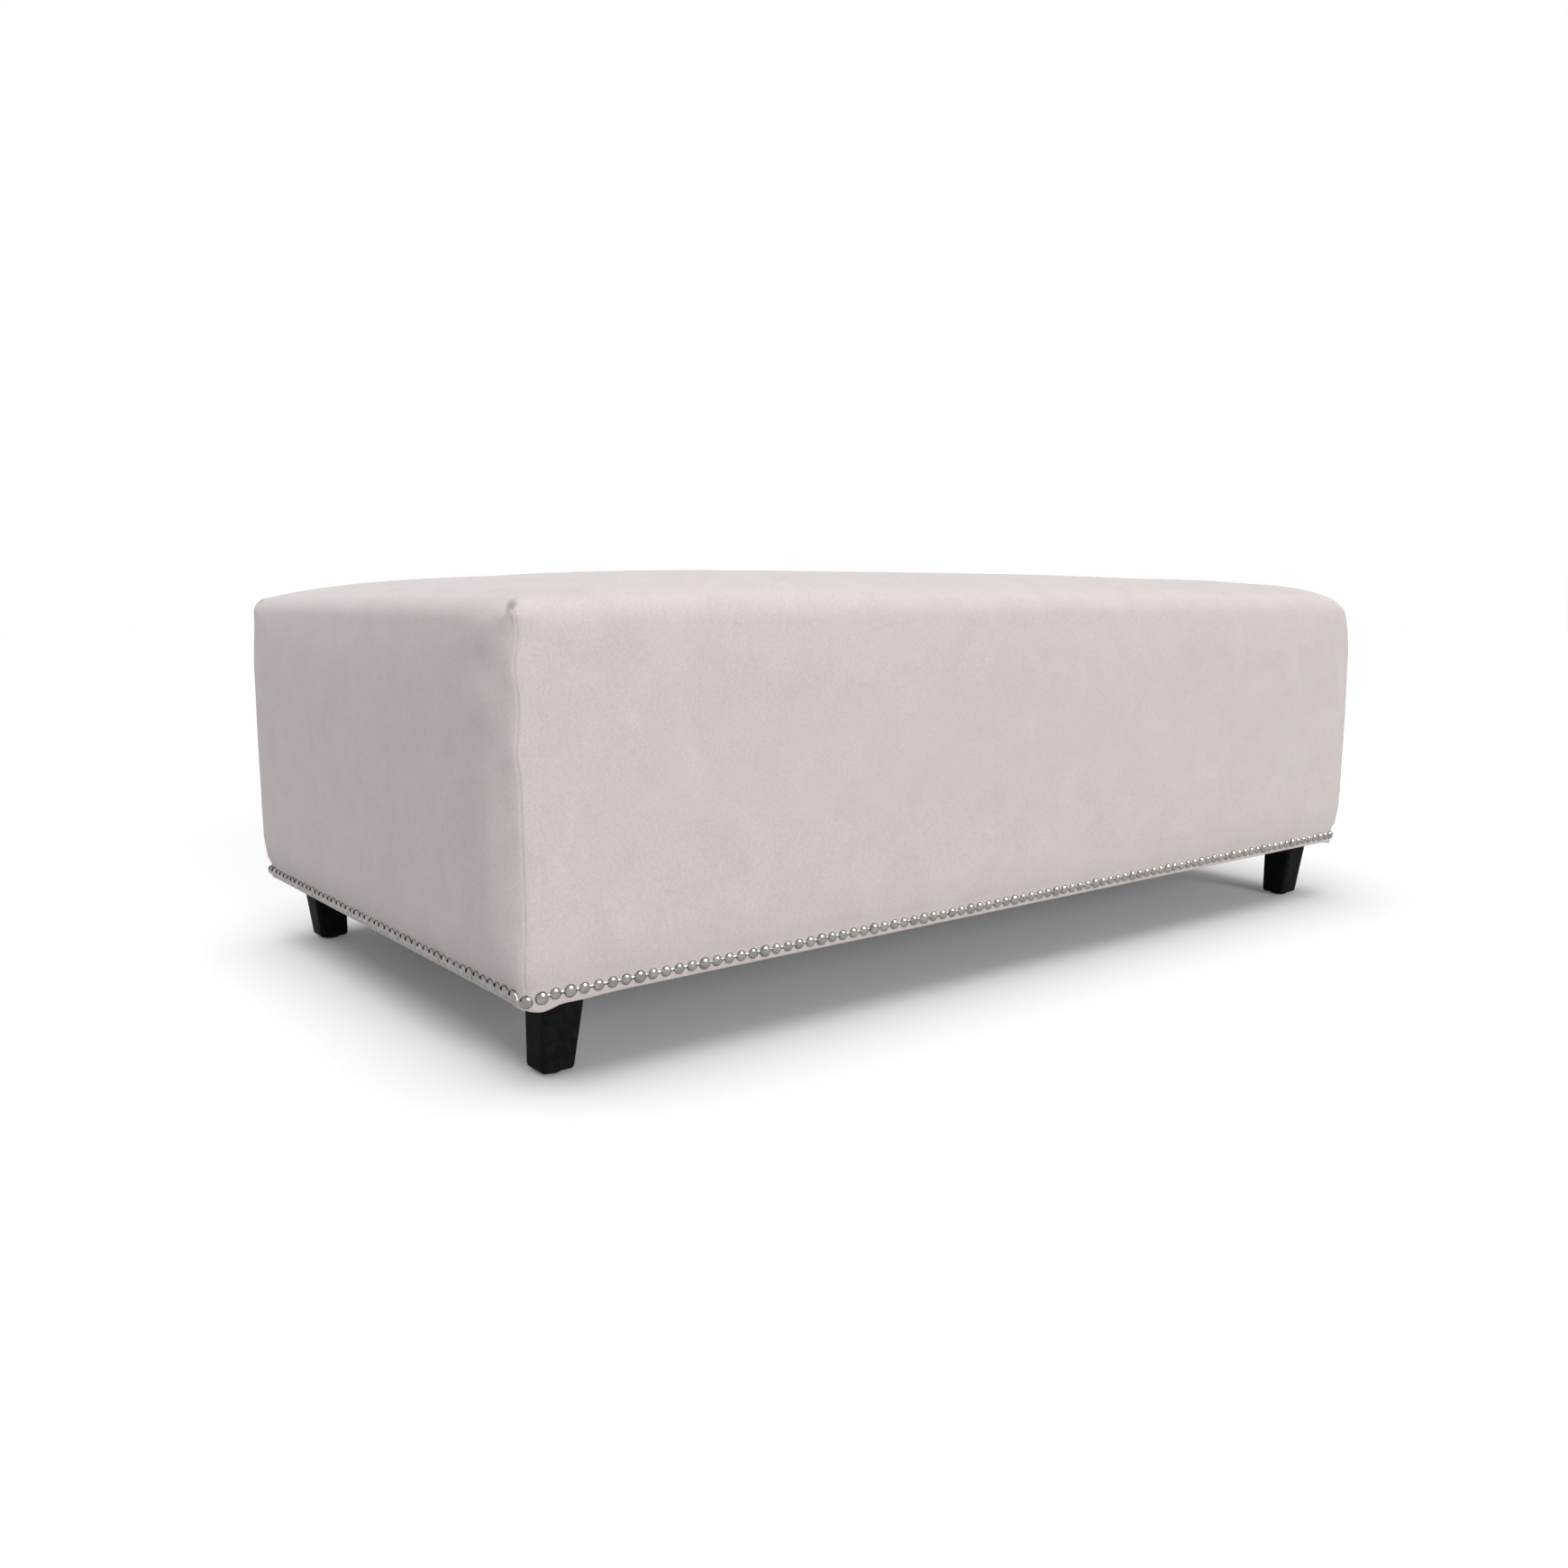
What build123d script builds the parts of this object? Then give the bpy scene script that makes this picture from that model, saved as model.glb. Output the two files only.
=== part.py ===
from build123d import *
import os
from math import asin, cos, radians, sin

os.makedirs("parts", exist_ok=True)

# An upholstered ottoman, in millimetres. X runs along its length, Y from front to back, Z up.
# The origin is on the floor under its middle.

# Overall sizes
cover_length = 1219
cover_depth = 662
overall_height = 432
floor_clearance = 74  # floor to the cover's bottom edge

# Crown of the top: a flat arc in the middle, a softer slope, and a tight shoulder
shoulder_radius = 22
slope_radius = 180
corner_radius = 22
shoulder_start_slope = 30  # degrees from level where the shoulder takes over
end_slope = 2.0  # degrees from level where the middle arc ends, along the length
side_slope = 8.8  # the same, along the depth
length_arc_rise = 3  # how far the arc along the length stands above the one along the depth

# Cover, wadding and boards, from outside to inside
cover_thickness = 1.5
cover_return = 32  # width turned under the frame
wadding_thickness = 8
board_thickness = 3
fit_clearance = 0.1  # round every nail, screw, dowel and bolt

# Frame
frame_height = 235
rail_thickness = 25
bottom_rail_height = 70
top_rail_height = 60
post_width = 60
middle_post_width = 60
stretcher_thickness = 25
stretcher_height = 45
spreader_drop = 18  # from the frame's top down to the spreader
dowel_diameter = 10
dowel_length = 48
dowel_spacing = 36
screw_diameter = 4.5
screw_length = 60
screw_head_diameter = 9
screw_head_height = 3
screw_spacing = 24

# Sprung deck
spring_count = 9
spring_runs = 25
wire_diameter = 3.8
spring_width = 52
spring_seat = 6  # from a rail's inner edge to the spring's end bar
clip_thickness = 1.2
clip_width = 14
clip_tail = 12
clip_nail_diameter = 2.4
clip_nail_length = 18
clip_nail_head_diameter = 5.5
clip_nail_head_height = 1
deck_cloth_thickness = 1
deck_margin = 1  # round the clips' tails, inside the foam's hollow
deck_cloth_gap = 0.5

# Bead strips and nails
bead_pitch = 13.33
bead_diameter = 10.4
bead_height = 3.6
bead_wall = 0.5
bead_row_height = 9.3  # above the cover's bottom edge
beads_per_nail = 5
link_width = 2.4
link_thickness = 0.6
link_overlap = 0.3
eyelet_diameter = 7
nail_head_diameter = 11.4
nail_head_height = 4
nail_head_wall = 0.7
nail_shank_diameter = 1.8
nail_shank_length = 18
corner_nail_turn = 33  # degrees from a corner's middle nail to the one on each side of it

# Legs
leg_width = 40
leg_taper = 8
leg_edge_radius = 5
leg_end_inset = 52  # from the cover's end to the middle of the leg's top
leg_side_inset = 44
bolt_diameter = 8
bolt_depth_in_leg = 30
bolt_depth_in_frame = 24
bolt_point = 4
insert_diameter = 12
insert_length = 20
insert_flange_diameter = 18
insert_flange_thickness = 1.5
glide_diameter = 20
glide_thickness = 2.5
glide_edge = 0.8
glide_nail_diameter = 2.4
glide_nail_length = 14

# Dust cover and its staples
dust_cover_thickness = 0.6
dust_cover_inset = 13
staple_inset = 23
staple_width = 12
staple_leg = 8
staple_wire_width = 1.2
staple_wire_thickness = 0.7
staple_spacing = 90
staple_end_gap = 80  # from a corner to the last staple's middle

# Places that follow from the sizes
frame_bottom = floor_clearance + cover_thickness
frame_top = frame_bottom + frame_height
wadding_inset = cover_thickness
foam_inset = cover_thickness + wadding_thickness
frame_inset = foam_inset + board_thickness
frame_length = cover_length - 2 * frame_inset
frame_depth = cover_depth - 2 * frame_inset
long_rail = frame_length - 2 * post_width
short_rail = frame_depth - 2 * post_width
inner_depth = frame_depth - 2 * rail_thickness
leg_top = floor_clearance - dust_cover_thickness
clip_inner_radius = wire_diameter / 2 + fit_clearance
clip_outer_radius = clip_inner_radius + clip_thickness
wire_height = frame_top + clip_outer_radius
deck_level = wire_height + clip_outer_radius
bead_row = floor_clearance + bead_row_height
leg_x = cover_length / 2 - leg_end_inset
leg_y = cover_depth / 2 - leg_side_inset

SIDES = {"front": 0, "right": 90, "back": 180, "left": 270}
CORNERS = {"front_left": (-1, -1), "front_right": (1, -1), "back_left": (-1, 1), "back_right": (1, 1)}


def export(piece, name):
    piece.part.label = name
    export_step(piece.part, f"parts/{name}.step")


def side_length(side):
    return cover_length if side in ("front", "back") else cover_depth


def face_plane(side, inset, height):
    """Plane on a side, inset from the cover's face, its normal pointing out of the ottoman."""
    turn = SIDES[side]
    out = Vector(0, -1, 0).rotate(Axis.Z, turn)
    along = Vector(1, 0, 0).rotate(Axis.Z, turn)
    reach = (cover_depth if side in ("front", "back") else cover_length) / 2 - inset
    return Plane(origin=out * reach + Vector(0, 0, height), x_dir=along, z_dir=out)


# Crowned body, drawn in by any layer's depth

def crown_section(half_width, top, middle_slope, inset, base):
    """Closed outline of the body from the height base to its top, drawn in by inset."""
    flat = radians(middle_slope)
    steep = radians(shoulder_start_slope)
    shoulder_reach = shoulder_radius * (1 - sin(steep))
    slope_reach = slope_radius * (sin(steep) - sin(flat))
    crown_radius = (half_width - shoulder_reach - slope_reach) / sin(flat)
    crown_centre = Vector(0, top - crown_radius)
    slope_centre = crown_centre + Vector(sin(flat), cos(flat)) * (crown_radius - slope_radius)
    shoulder_centre = slope_centre + Vector(sin(steep), cos(steep)) * (slope_radius - shoulder_radius)

    def on_arc(centre, radius, angle):
        return centre + Vector(sin(angle), cos(angle)) * (radius - inset)

    upright = radians(90)
    with BuildSketch() as section:
        with BuildLine():
            Line((0, base), (half_width - inset, base))
            Line((half_width - inset, base), on_arc(shoulder_centre, shoulder_radius, upright))
            ThreePointArc(
                on_arc(shoulder_centre, shoulder_radius, upright),
                on_arc(shoulder_centre, shoulder_radius, (upright + steep) / 2),
                on_arc(shoulder_centre, shoulder_radius, steep),
            )
            ThreePointArc(
                on_arc(slope_centre, slope_radius, steep),
                on_arc(slope_centre, slope_radius, (steep + flat) / 2),
                on_arc(slope_centre, slope_radius, flat),
            )
            ThreePointArc(
                on_arc(crown_centre, crown_radius, flat),
                on_arc(crown_centre, crown_radius, flat / 2),
                on_arc(crown_centre, crown_radius, 0),
            )
            mirror(about=Plane.YZ)
        make_face()
    return section.sketch


def crowned_body(inset, base):
    """The body as a solid: its two crowned sections crossed, with rounded upright corners."""
    long_top = overall_height + length_arc_rise
    long_section = crown_section(cover_length / 2, long_top, end_slope, inset, base)
    cross_section = crown_section(cover_depth / 2, overall_height, side_slope, inset, base)
    with BuildPart() as body:
        with BuildSketch(Plane.XZ.offset(-cover_depth / 2)):
            add(long_section)
        extrude(amount=cover_depth)
        with BuildSketch(Plane.YZ.offset(-cover_length / 2)):
            add(cross_section)
        extrude(amount=cover_length, mode=Mode.INTERSECT)
        with BuildSketch(Plane.XY.offset(base)):
            RectangleRounded(cover_length - 2 * inset, cover_depth - 2 * inset, corner_radius - inset)
        extrude(amount=overall_height, mode=Mode.INTERSECT)
    return body.part


# Bead strips: domes, eyelets for the nails and the links between them, made flat and set on each side

def half_bead_count(side):
    """Beads on each half of a side: the first is half a pitch from its middle, the last near its corner."""
    return round((side_length(side) / 2 - corner_radius) / bead_pitch)


def bead_place(n):
    """Distance along a side of place n. The middle of the side is between places -1 and 0."""
    return (n + 1 / 2) * bead_pitch


def is_nailed(n):
    return n % beads_per_nail == beads_per_nail // 2


def bead_places(side, nailed):
    """Distances along a side of the nailed places, or of the plain beads between them."""
    count = half_bead_count(side)
    return [bead_place(n) for n in range(-count, count) if is_nailed(n) == nailed]


def dome_profile(diameter, height, wall):
    """Section of a thin pressed dome, from its rim to its top."""
    radius = (diameter**2 / 4 + height**2) / (2 * height)
    centre = height - radius
    inner = radius - wall
    inner_rim = (inner**2 - centre**2) ** 0.5
    middle = asin(diameter / 2 / radius) / 2
    with BuildSketch(Plane.XZ) as profile:
        with BuildLine():
            ThreePointArc(
                (diameter / 2, 0), (radius * sin(middle), centre + radius * cos(middle)), (0, height)
            )
            Line((0, height), (0, height - wall))
            ThreePointArc(
                (0, height - wall), (inner * sin(middle), centre + inner * cos(middle)), (inner_rim, 0)
            )
            Line((inner_rim, 0), (diameter / 2, 0))
        make_face()
    return profile.sketch


with BuildPart() as bead:
    add(dome_profile(bead_diameter, bead_height, bead_wall))
    revolve(axis=Axis.Z)

with BuildPart() as eyelet:
    with BuildSketch():
        Circle(eyelet_diameter / 2)
        Circle(nail_shank_diameter / 2 + fit_clearance, mode=Mode.SUBTRACT)
    extrude(amount=link_thickness)

with BuildPart() as strip_nail:
    add(dome_profile(nail_head_diameter, nail_head_height, nail_head_wall))
    revolve(axis=Axis.Z)
    with BuildSketch(Plane.XY.offset(nail_head_height - nail_head_wall)):
        Circle(nail_shank_diameter / 2)
    extrude(amount=-(nail_head_height - nail_head_wall + nail_shank_length))
    chamfer(strip_nail.edges().sort_by(Axis.Z)[0], nail_shank_diameter / 4)


def strip_hold(n):
    """From the middle of place n along a strip to where a link takes hold of its eyelet or bead."""
    return (eyelet_diameter if is_nailed(n) else bead_diameter) / 2 - link_overlap


def link_after(n):
    """The flat link from place n along a strip to the next place."""
    start = bead_place(n) + strip_hold(n)
    end = bead_place(n + 1) - strip_hold(n + 1)
    with BuildPart() as link:
        with Locations(((start + end) / 2, 0)):
            Box(end - start, link_width, link_thickness, align=(Align.CENTER, Align.CENTER, Align.MIN))
    return link.part


for side in SIDES:
    count = half_bead_count(side)
    strip_pieces = [eyelet.part.moved(Pos(x, 0)) for x in bead_places(side, nailed=True)]
    strip_pieces += [bead.part.moved(Pos(x, 0)) for x in bead_places(side, nailed=False)]
    strip_pieces += [link_after(n) for n in range(-count, count - 1)]
    with BuildPart(face_plane(side, 0, bead_row)) as nailhead_strip:
        add(strip_pieces, clean=False)
    export(nailhead_strip, f"nailhead_strip_{side}")

    with BuildPart(face_plane(side, -link_thickness, bead_row)) as strip_nails:
        with Locations(*[(x, 0) for x in bead_places(side, nailed=True)]):
            add(strip_nail.part)
    export(strip_nails, f"strip_nails_{side}")


def corner_nail_planes():
    """A plane for each single nail on the rounded corners, its normal pointing out."""
    planes = []
    for x_way, y_way in CORNERS.values():
        centre = Vector(x_way * (cover_length / 2 - corner_radius), y_way * (cover_depth / 2 - corner_radius))
        middle = Vector(x_way, y_way).normalized()
        for turn in (-corner_nail_turn, 0, corner_nail_turn):
            out = middle.rotate(Axis.Z, turn)
            spot = centre + out * corner_radius + Vector(0, 0, bead_row)
            planes.append(Plane(origin=spot, x_dir=Vector(0, 0, 1).cross(out), z_dir=out))
    return planes


with BuildPart() as corner_nails:
    for plane in corner_nail_planes():
        with Locations(plane):
            add(strip_nail.part)
export(corner_nails, "corner_nails")


# One bore for every nail shank, cut from each layer that it passes through

bore_diameter = nail_shank_diameter + 2 * fit_clearance
bore_depth = nail_shank_length + fit_clearance


def cut_nail_bores(sides, corners=True):
    """Cut the bores of the named sides from the part being built."""
    spots = []
    for side in sides:
        face = face_plane(side, 0, bead_row).location
        spots += [face * Pos(x, 0) for x in bead_places(side, nailed=True)]
    if corners:
        spots += [plane.location for plane in corner_nail_planes()]
    with Locations(*spots):
        Cylinder(
            bore_diameter / 2, bore_depth, align=(Align.CENTER, Align.CENTER, Align.MAX), mode=Mode.SUBTRACT
        )


# Staples of the dust cover, in a line inside its edge

def staple_places():
    """Where each staple's crown meets the dust cover, turned along its side."""
    places = []
    for side in SIDES:
        run = side_length(side) / 2 - staple_end_gap
        count = int(run / staple_spacing)
        edge = face_plane(side, staple_inset, leg_top)
        level = Plane(origin=edge.origin, x_dir=edge.x_dir, z_dir=Vector(0, 0, 1)).location
        places += [level * Pos(n * run / count, 0) for n in range(-count, count + 1)]
    return places


staple_leg_reach = (staple_width - staple_wire_thickness) / 2  # from a staple's middle to each leg's middle

with BuildPart() as staple:
    Box(
        staple_width, staple_wire_width, staple_wire_thickness, align=(Align.CENTER, Align.CENTER, Align.MAX)
    )
    with Locations((-staple_leg_reach, 0), (staple_leg_reach, 0)):
        Box(
            staple_wire_thickness,
            staple_wire_width,
            staple_leg,
            align=(Align.CENTER, Align.CENTER, Align.MIN),
        )

with BuildPart() as dust_cover_staples:
    with Locations(*staple_places()):
        add(staple.part)
export(dust_cover_staples, "dust_cover_staples")


def cut_staple_bores():
    """Cut the two slots of every staple from the part being built."""
    slots = [place * Pos(x, 0) for place in staple_places() for x in (-staple_leg_reach, staple_leg_reach)]
    with Locations(*slots):
        Box(
            staple_wire_thickness + 2 * fit_clearance,
            staple_wire_width + 2 * fit_clearance,
            staple_leg + fit_clearance,
            align=(Align.CENTER, Align.CENTER, Align.MIN),
            mode=Mode.SUBTRACT,
        )


# Soft layers: cover, wadding and foam

cover_outside = crowned_body(0, floor_clearance)
cover_inside = crowned_body(cover_thickness, frame_bottom)
wadding_outside = crowned_body(wadding_inset, frame_top)
foam_form = crowned_body(foam_inset, frame_top)

with BuildPart() as fabric_cover:
    add(cover_outside)
    add(cover_inside, mode=Mode.SUBTRACT)
    with Locations((0, 0, floor_clearance)):
        Box(
            cover_length - 2 * cover_return,
            cover_depth - 2 * cover_return,
            2 * cover_thickness,
            mode=Mode.SUBTRACT,
        )
    cut_nail_bores(SIDES)
    cut_staple_bores()
export(fabric_cover, "fabric_cover")

with BuildPart() as wadding_top:
    add(wadding_outside)
    add(foam_form, mode=Mode.SUBTRACT)
export(wadding_top, "wadding_top")

mitre_reach = 2 * corner_radius  # past the layers' rounded corners

for side in SIDES:
    length = side_length(side)
    width = cover_length + cover_depth - length
    along = face_plane(side, 0, 0).x_dir
    with BuildPart() as wadding_side:
        with BuildSketch(Plane(origin=(0, 0, frame_bottom), x_dir=along, z_dir=(0, 0, 1))):
            RectangleRounded(
                length - 2 * wadding_inset,
                width - 2 * wadding_inset,
                corner_radius - wadding_inset,
            )
            RectangleRounded(
                length - 2 * foam_inset,
                width - 2 * foam_inset,
                corner_radius - foam_inset,
                mode=Mode.SUBTRACT,
            )
            Polygon(
                (-length / 2, -width / 2),
                (length / 2, -width / 2),
                (length / 2 - mitre_reach, -width / 2 + mitre_reach),
                (-length / 2 + mitre_reach, -width / 2 + mitre_reach),
                align=None,
                mode=Mode.INTERSECT,
            )
        extrude(amount=frame_height)
        cut_nail_bores([side])
    export(wadding_side, f"wadding_{side}")

hollow_edge = rail_thickness - spring_seat - clip_tail - deck_margin
hollow_height = deck_level + deck_cloth_thickness - frame_top
hollow_length = frame_length - 2 * hollow_edge
hollow_depth = frame_depth - 2 * hollow_edge

with BuildPart() as foam_pad:
    add(foam_form)
    with Locations((0, 0, frame_top)):
        Box(
            hollow_length,
            hollow_depth,
            hollow_height,
            align=(Align.CENTER, Align.CENTER, Align.MIN),
            mode=Mode.SUBTRACT,
        )
export(foam_pad, "foam_pad")

with BuildPart() as deck_cloth:
    with BuildSketch(Plane.XY.offset(deck_level)):
        Rectangle(hollow_length - 2 * deck_cloth_gap, hollow_depth - 2 * deck_cloth_gap)
    extrude(amount=deck_cloth_thickness)
export(deck_cloth, "deck_cloth")


# Sprung deck: zigzag springs from the front rail to the back rail, in clips nailed to the rails

spring_reach = inner_depth / 2 + spring_seat
run_pitch = 2 * spring_reach / (spring_runs - 1)
bend_radius = run_pitch / 2
run_half = spring_width / 2 - bend_radius
spring_spacing = long_rail / spring_count

with BuildPart() as spring:
    with BuildLine(Plane.XY.offset(wire_height)) as zigzag:
        for n in range(spring_runs):
            y = n * run_pitch - spring_reach
            way = 1 if n % 2 == 0 else -1
            Line((-way * run_half, y), (way * run_half, y))
            if n < spring_runs - 1:
                CenterArc((way * run_half, y + bend_radius), bend_radius, -90, way * 180)
    with BuildSketch(Plane(origin=zigzag.line @ 0, z_dir=zigzag.line % 0)):
        Circle(wire_diameter / 2)
    sweep()

with BuildPart() as sinuous_springs:
    with GridLocations(spring_spacing, 0, spring_count, 1):
        add(spring.part)
export(sinuous_springs, "sinuous_springs")

clip_nail_reach = (clip_outer_radius + clip_tail) / 2

with BuildPart() as clip:
    with BuildSketch(Plane.YZ.offset(-clip_width / 2)):
        Circle(clip_outer_radius)
        with Locations((0, -clip_outer_radius)):
            Rectangle(clip_tail, clip_thickness, align=(Align.MIN, Align.MIN))
        Circle(clip_inner_radius, mode=Mode.SUBTRACT)
    extrude(amount=clip_width)
    with Locations((0, clip_nail_reach, -clip_outer_radius)):
        Cylinder(clip_nail_diameter / 2 + fit_clearance, 2 * clip_thickness, mode=Mode.SUBTRACT)

with BuildPart() as clip_nail:
    with Locations((0, 0, clip_thickness)):
        Cylinder(
            clip_nail_head_diameter / 2, clip_nail_head_height, align=(Align.CENTER, Align.CENTER, Align.MIN)
        )
        Cylinder(clip_nail_diameter / 2, clip_nail_length, align=(Align.CENTER, Align.CENTER, Align.MAX))


def clip_places(height, reach):
    """One place at each end of each spring, its Y pointing out of the frame."""
    places = []
    for turn in (0, 180):
        for n in range(spring_count):
            x = (n - (spring_count - 1) / 2) * spring_spacing
            places.append(Location((0, 0, height), (0, 0, turn)) * Pos(x, reach))
    return places


with BuildPart() as spring_clips:
    with Locations(*clip_places(wire_height, spring_reach)):
        add(clip.part)
export(spring_clips, "spring_clips")

with BuildPart() as clip_nails:
    with Locations(*clip_places(frame_top, spring_reach + clip_nail_reach)):
        add(clip_nail.part)
export(clip_nails, "clip_nails")


# Wooden frame: posts, rails, cross pieces and their dowels and screws

def dowel_places():
    """Middle of every dowel, its Z along the dowel."""
    heights = []
    for middle in (frame_bottom + bottom_rail_height / 2, frame_top - top_rail_height / 2):
        heights += [middle - dowel_spacing / 2, middle + dowel_spacing / 2]
    places = []
    for x_way, y_way in CORNERS.values():
        for height in heights:
            long_end = (x_way * long_rail / 2, y_way * (frame_depth - rail_thickness) / 2, height)
            short_end = (x_way * (frame_length - rail_thickness) / 2, y_way * short_rail / 2, height)
            places.append(Location(long_end, (0, 90, 0)))
            places.append(Location(short_end, (90, 0, 0)))
    return places


def cut_dowel_bores():
    with Locations(*dowel_places()):
        Cylinder(dowel_diameter / 2 + fit_clearance, dowel_length + 2 * fit_clearance, mode=Mode.SUBTRACT)


with BuildPart() as frame_dowels:
    with Locations(*dowel_places()):
        Cylinder(dowel_diameter / 2, dowel_length)
export(frame_dowels, "frame_dowels")

stretcher_middle = frame_bottom + stretcher_height / 2
spreader_middle = frame_top - spreader_drop - stretcher_height / 2


def screw_places():
    """Head of every screw that holds a cross piece, its Z pointing out of the frame."""
    places = []
    for y_way in (-1, 1):
        for middle in (stretcher_middle, spreader_middle):
            for height in (middle - screw_spacing / 2, middle + screw_spacing / 2):
                places.append(Location((0, y_way * frame_depth / 2, height), (-y_way * 90, 0, 0)))
    return places


def screw_shape(growth, mode):
    """A countersunk screw from its head's face inwards, or its bore when it is grown by a clearance."""
    head = screw_head_diameter / 2 + growth
    shank = screw_diameter / 2 + growth
    with Locations(*screw_places()):
        Cone(shank, head, screw_head_height, align=(Align.CENTER, Align.CENTER, Align.MAX), mode=mode)
        Cylinder(shank, screw_length + growth, align=(Align.CENTER, Align.CENTER, Align.MAX), mode=mode)


with BuildPart() as stretcher_screws:
    screw_shape(0, Mode.ADD)
export(stretcher_screws, "stretcher_screws")

for corner, (x_way, y_way) in CORNERS.items():
    with BuildPart() as post:
        with BuildSketch(Plane.XY.offset(frame_bottom)):
            with Locations((x_way * (frame_length - post_width) / 2, y_way * (frame_depth - post_width) / 2)):
                Rectangle(post_width, post_width)
        extrude(amount=frame_height)
        outer_edge = post.edges().filter_by(Axis.Z).sort_by(lambda edge: edge.center().length)[-1]
        fillet(outer_edge, corner_radius - frame_inset)
        cut_dowel_bores()
        cut_nail_bores(SIDES)
        with Locations((x_way * leg_x, y_way * leg_y, frame_bottom)):
            for radius, depth in (
                (insert_flange_diameter / 2, insert_flange_thickness),
                (insert_diameter / 2, insert_length),
                (bolt_diameter / 2, bolt_depth_in_frame),
            ):
                Cylinder(
                    radius + fit_clearance,
                    depth + fit_clearance,
                    align=(Align.CENTER, Align.CENTER, Align.MIN),
                    mode=Mode.SUBTRACT,
                )
    export(post, f"corner_post_{corner}")

for side in SIDES:
    is_long = side in ("front", "back")
    rail_length = long_rail if is_long else short_rail
    for level, height, base in (
        ("bottom", bottom_rail_height, frame_bottom),
        ("top", top_rail_height, frame_top - top_rail_height),
    ):
        with BuildPart() as rail:
            with BuildSketch(face_plane(side, frame_inset, base)):
                Rectangle(rail_length, height, align=(Align.CENTER, Align.MIN))
            extrude(amount=-rail_thickness)
            cut_dowel_bores()
            if is_long:
                screw_shape(fit_clearance, Mode.SUBTRACT)
            if level == "bottom":
                cut_nail_bores([side], corners=False)
                cut_staple_bores()
            elif is_long:
                with Locations(*clip_places(frame_top, spring_reach + clip_nail_reach)):
                    Cylinder(
                        clip_nail_diameter / 2 + fit_clearance,
                        clip_nail_length - clip_thickness + fit_clearance,
                        align=(Align.CENTER, Align.CENTER, Align.MAX),
                        mode=Mode.SUBTRACT,
                    )
        export(rail, f"{level}_rail_{side}")

    board_length = side_length(side) - 2 * corner_radius
    with BuildPart() as side_board:
        with BuildSketch(face_plane(side, foam_inset, frame_bottom)):
            Rectangle(board_length, frame_height, align=(Align.CENTER, Align.MIN))
        extrude(amount=-board_thickness)
        cut_nail_bores([side], corners=False)
    export(side_board, f"side_board_{side}")

    if is_long:
        with BuildPart() as middle_post:
            with BuildSketch(face_plane(side, frame_inset, frame_bottom + bottom_rail_height)):
                Rectangle(
                    middle_post_width,
                    frame_height - bottom_rail_height - top_rail_height,
                    align=(Align.CENTER, Align.MIN),
                )
            extrude(amount=-rail_thickness)
        export(middle_post, f"middle_post_{side}")

for name, middle in (("base_stretcher", stretcher_middle), ("top_spreader", spreader_middle)):
    with BuildPart() as cross_piece:
        with Locations((0, 0, middle)):
            Box(stretcher_thickness, inner_depth, stretcher_height)
        screw_shape(fit_clearance, Mode.SUBTRACT)
    export(cross_piece, name)


# Legs: two upright faces and two tapered ones, each leg turned on its bolt as it was screwed home

leg_turns = {"front_left": 0, "front_right": 0, "back_left": 180, "back_right": 90}
foot_width = leg_width - leg_taper
foot_spot = (-leg_taper / 2, leg_taper / 2)

with BuildPart() as leg_form:
    with BuildSketch(Plane.XY.offset(glide_thickness)):
        with Locations(foot_spot):
            Rectangle(foot_width, foot_width)
    with BuildSketch(Plane.XY.offset(leg_top)):
        Rectangle(leg_width, leg_width)
    loft()
    fillet(leg_form.edges() - leg_form.edges().group_by(Axis.Z)[-1], leg_edge_radius)
    with Locations((0, 0, leg_top)):
        Cylinder(
            bolt_diameter / 2 + fit_clearance,
            bolt_depth_in_leg + fit_clearance,
            align=(Align.CENTER, Align.CENTER, Align.MAX),
            mode=Mode.SUBTRACT,
        )
    with Locations((*foot_spot, glide_thickness)):
        Cylinder(
            glide_nail_diameter / 2 + fit_clearance,
            glide_nail_length + fit_clearance,
            align=(Align.CENTER, Align.CENTER, Align.MIN),
            mode=Mode.SUBTRACT,
        )

with BuildPart() as glide:
    with Locations(foot_spot):
        Cylinder(glide_diameter / 2, glide_thickness, align=(Align.CENTER, Align.CENTER, Align.MIN))
    chamfer(glide.edges().sort_by(Axis.Z)[0], glide_edge)
    with Locations((*foot_spot, glide_thickness)):
        Cylinder(glide_nail_diameter / 2, glide_nail_length, align=(Align.CENTER, Align.CENTER, Align.MIN))

with BuildPart() as bolt:
    with Locations((0, 0, leg_top - bolt_depth_in_leg)):
        Cylinder(
            bolt_diameter / 2,
            frame_bottom + bolt_depth_in_frame - leg_top + bolt_depth_in_leg,
            align=(Align.CENTER, Align.CENTER, Align.MIN),
        )
    chamfer(bolt.edges().sort_by(Axis.Z)[0], length=bolt_point, length2=bolt_diameter / 4)

with BuildPart() as insert:
    with Locations((0, 0, frame_bottom)):
        Cylinder(
            insert_flange_diameter / 2, insert_flange_thickness, align=(Align.CENTER, Align.CENTER, Align.MIN)
        )
        Cylinder(insert_diameter / 2, insert_length, align=(Align.CENTER, Align.CENTER, Align.MIN))
        Cylinder(
            bolt_diameter / 2 + fit_clearance,
            insert_length,
            align=(Align.CENTER, Align.CENTER, Align.MIN),
            mode=Mode.SUBTRACT,
        )

leg_places = {
    corner: Location((x_way * leg_x, y_way * leg_y, 0), (0, 0, leg_turns[corner]))
    for corner, (x_way, y_way) in CORNERS.items()
}

for corner, place in leg_places.items():
    with BuildPart() as leg:
        with Locations(place):
            add(leg_form.part)
    export(leg, f"leg_{corner}")

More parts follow.
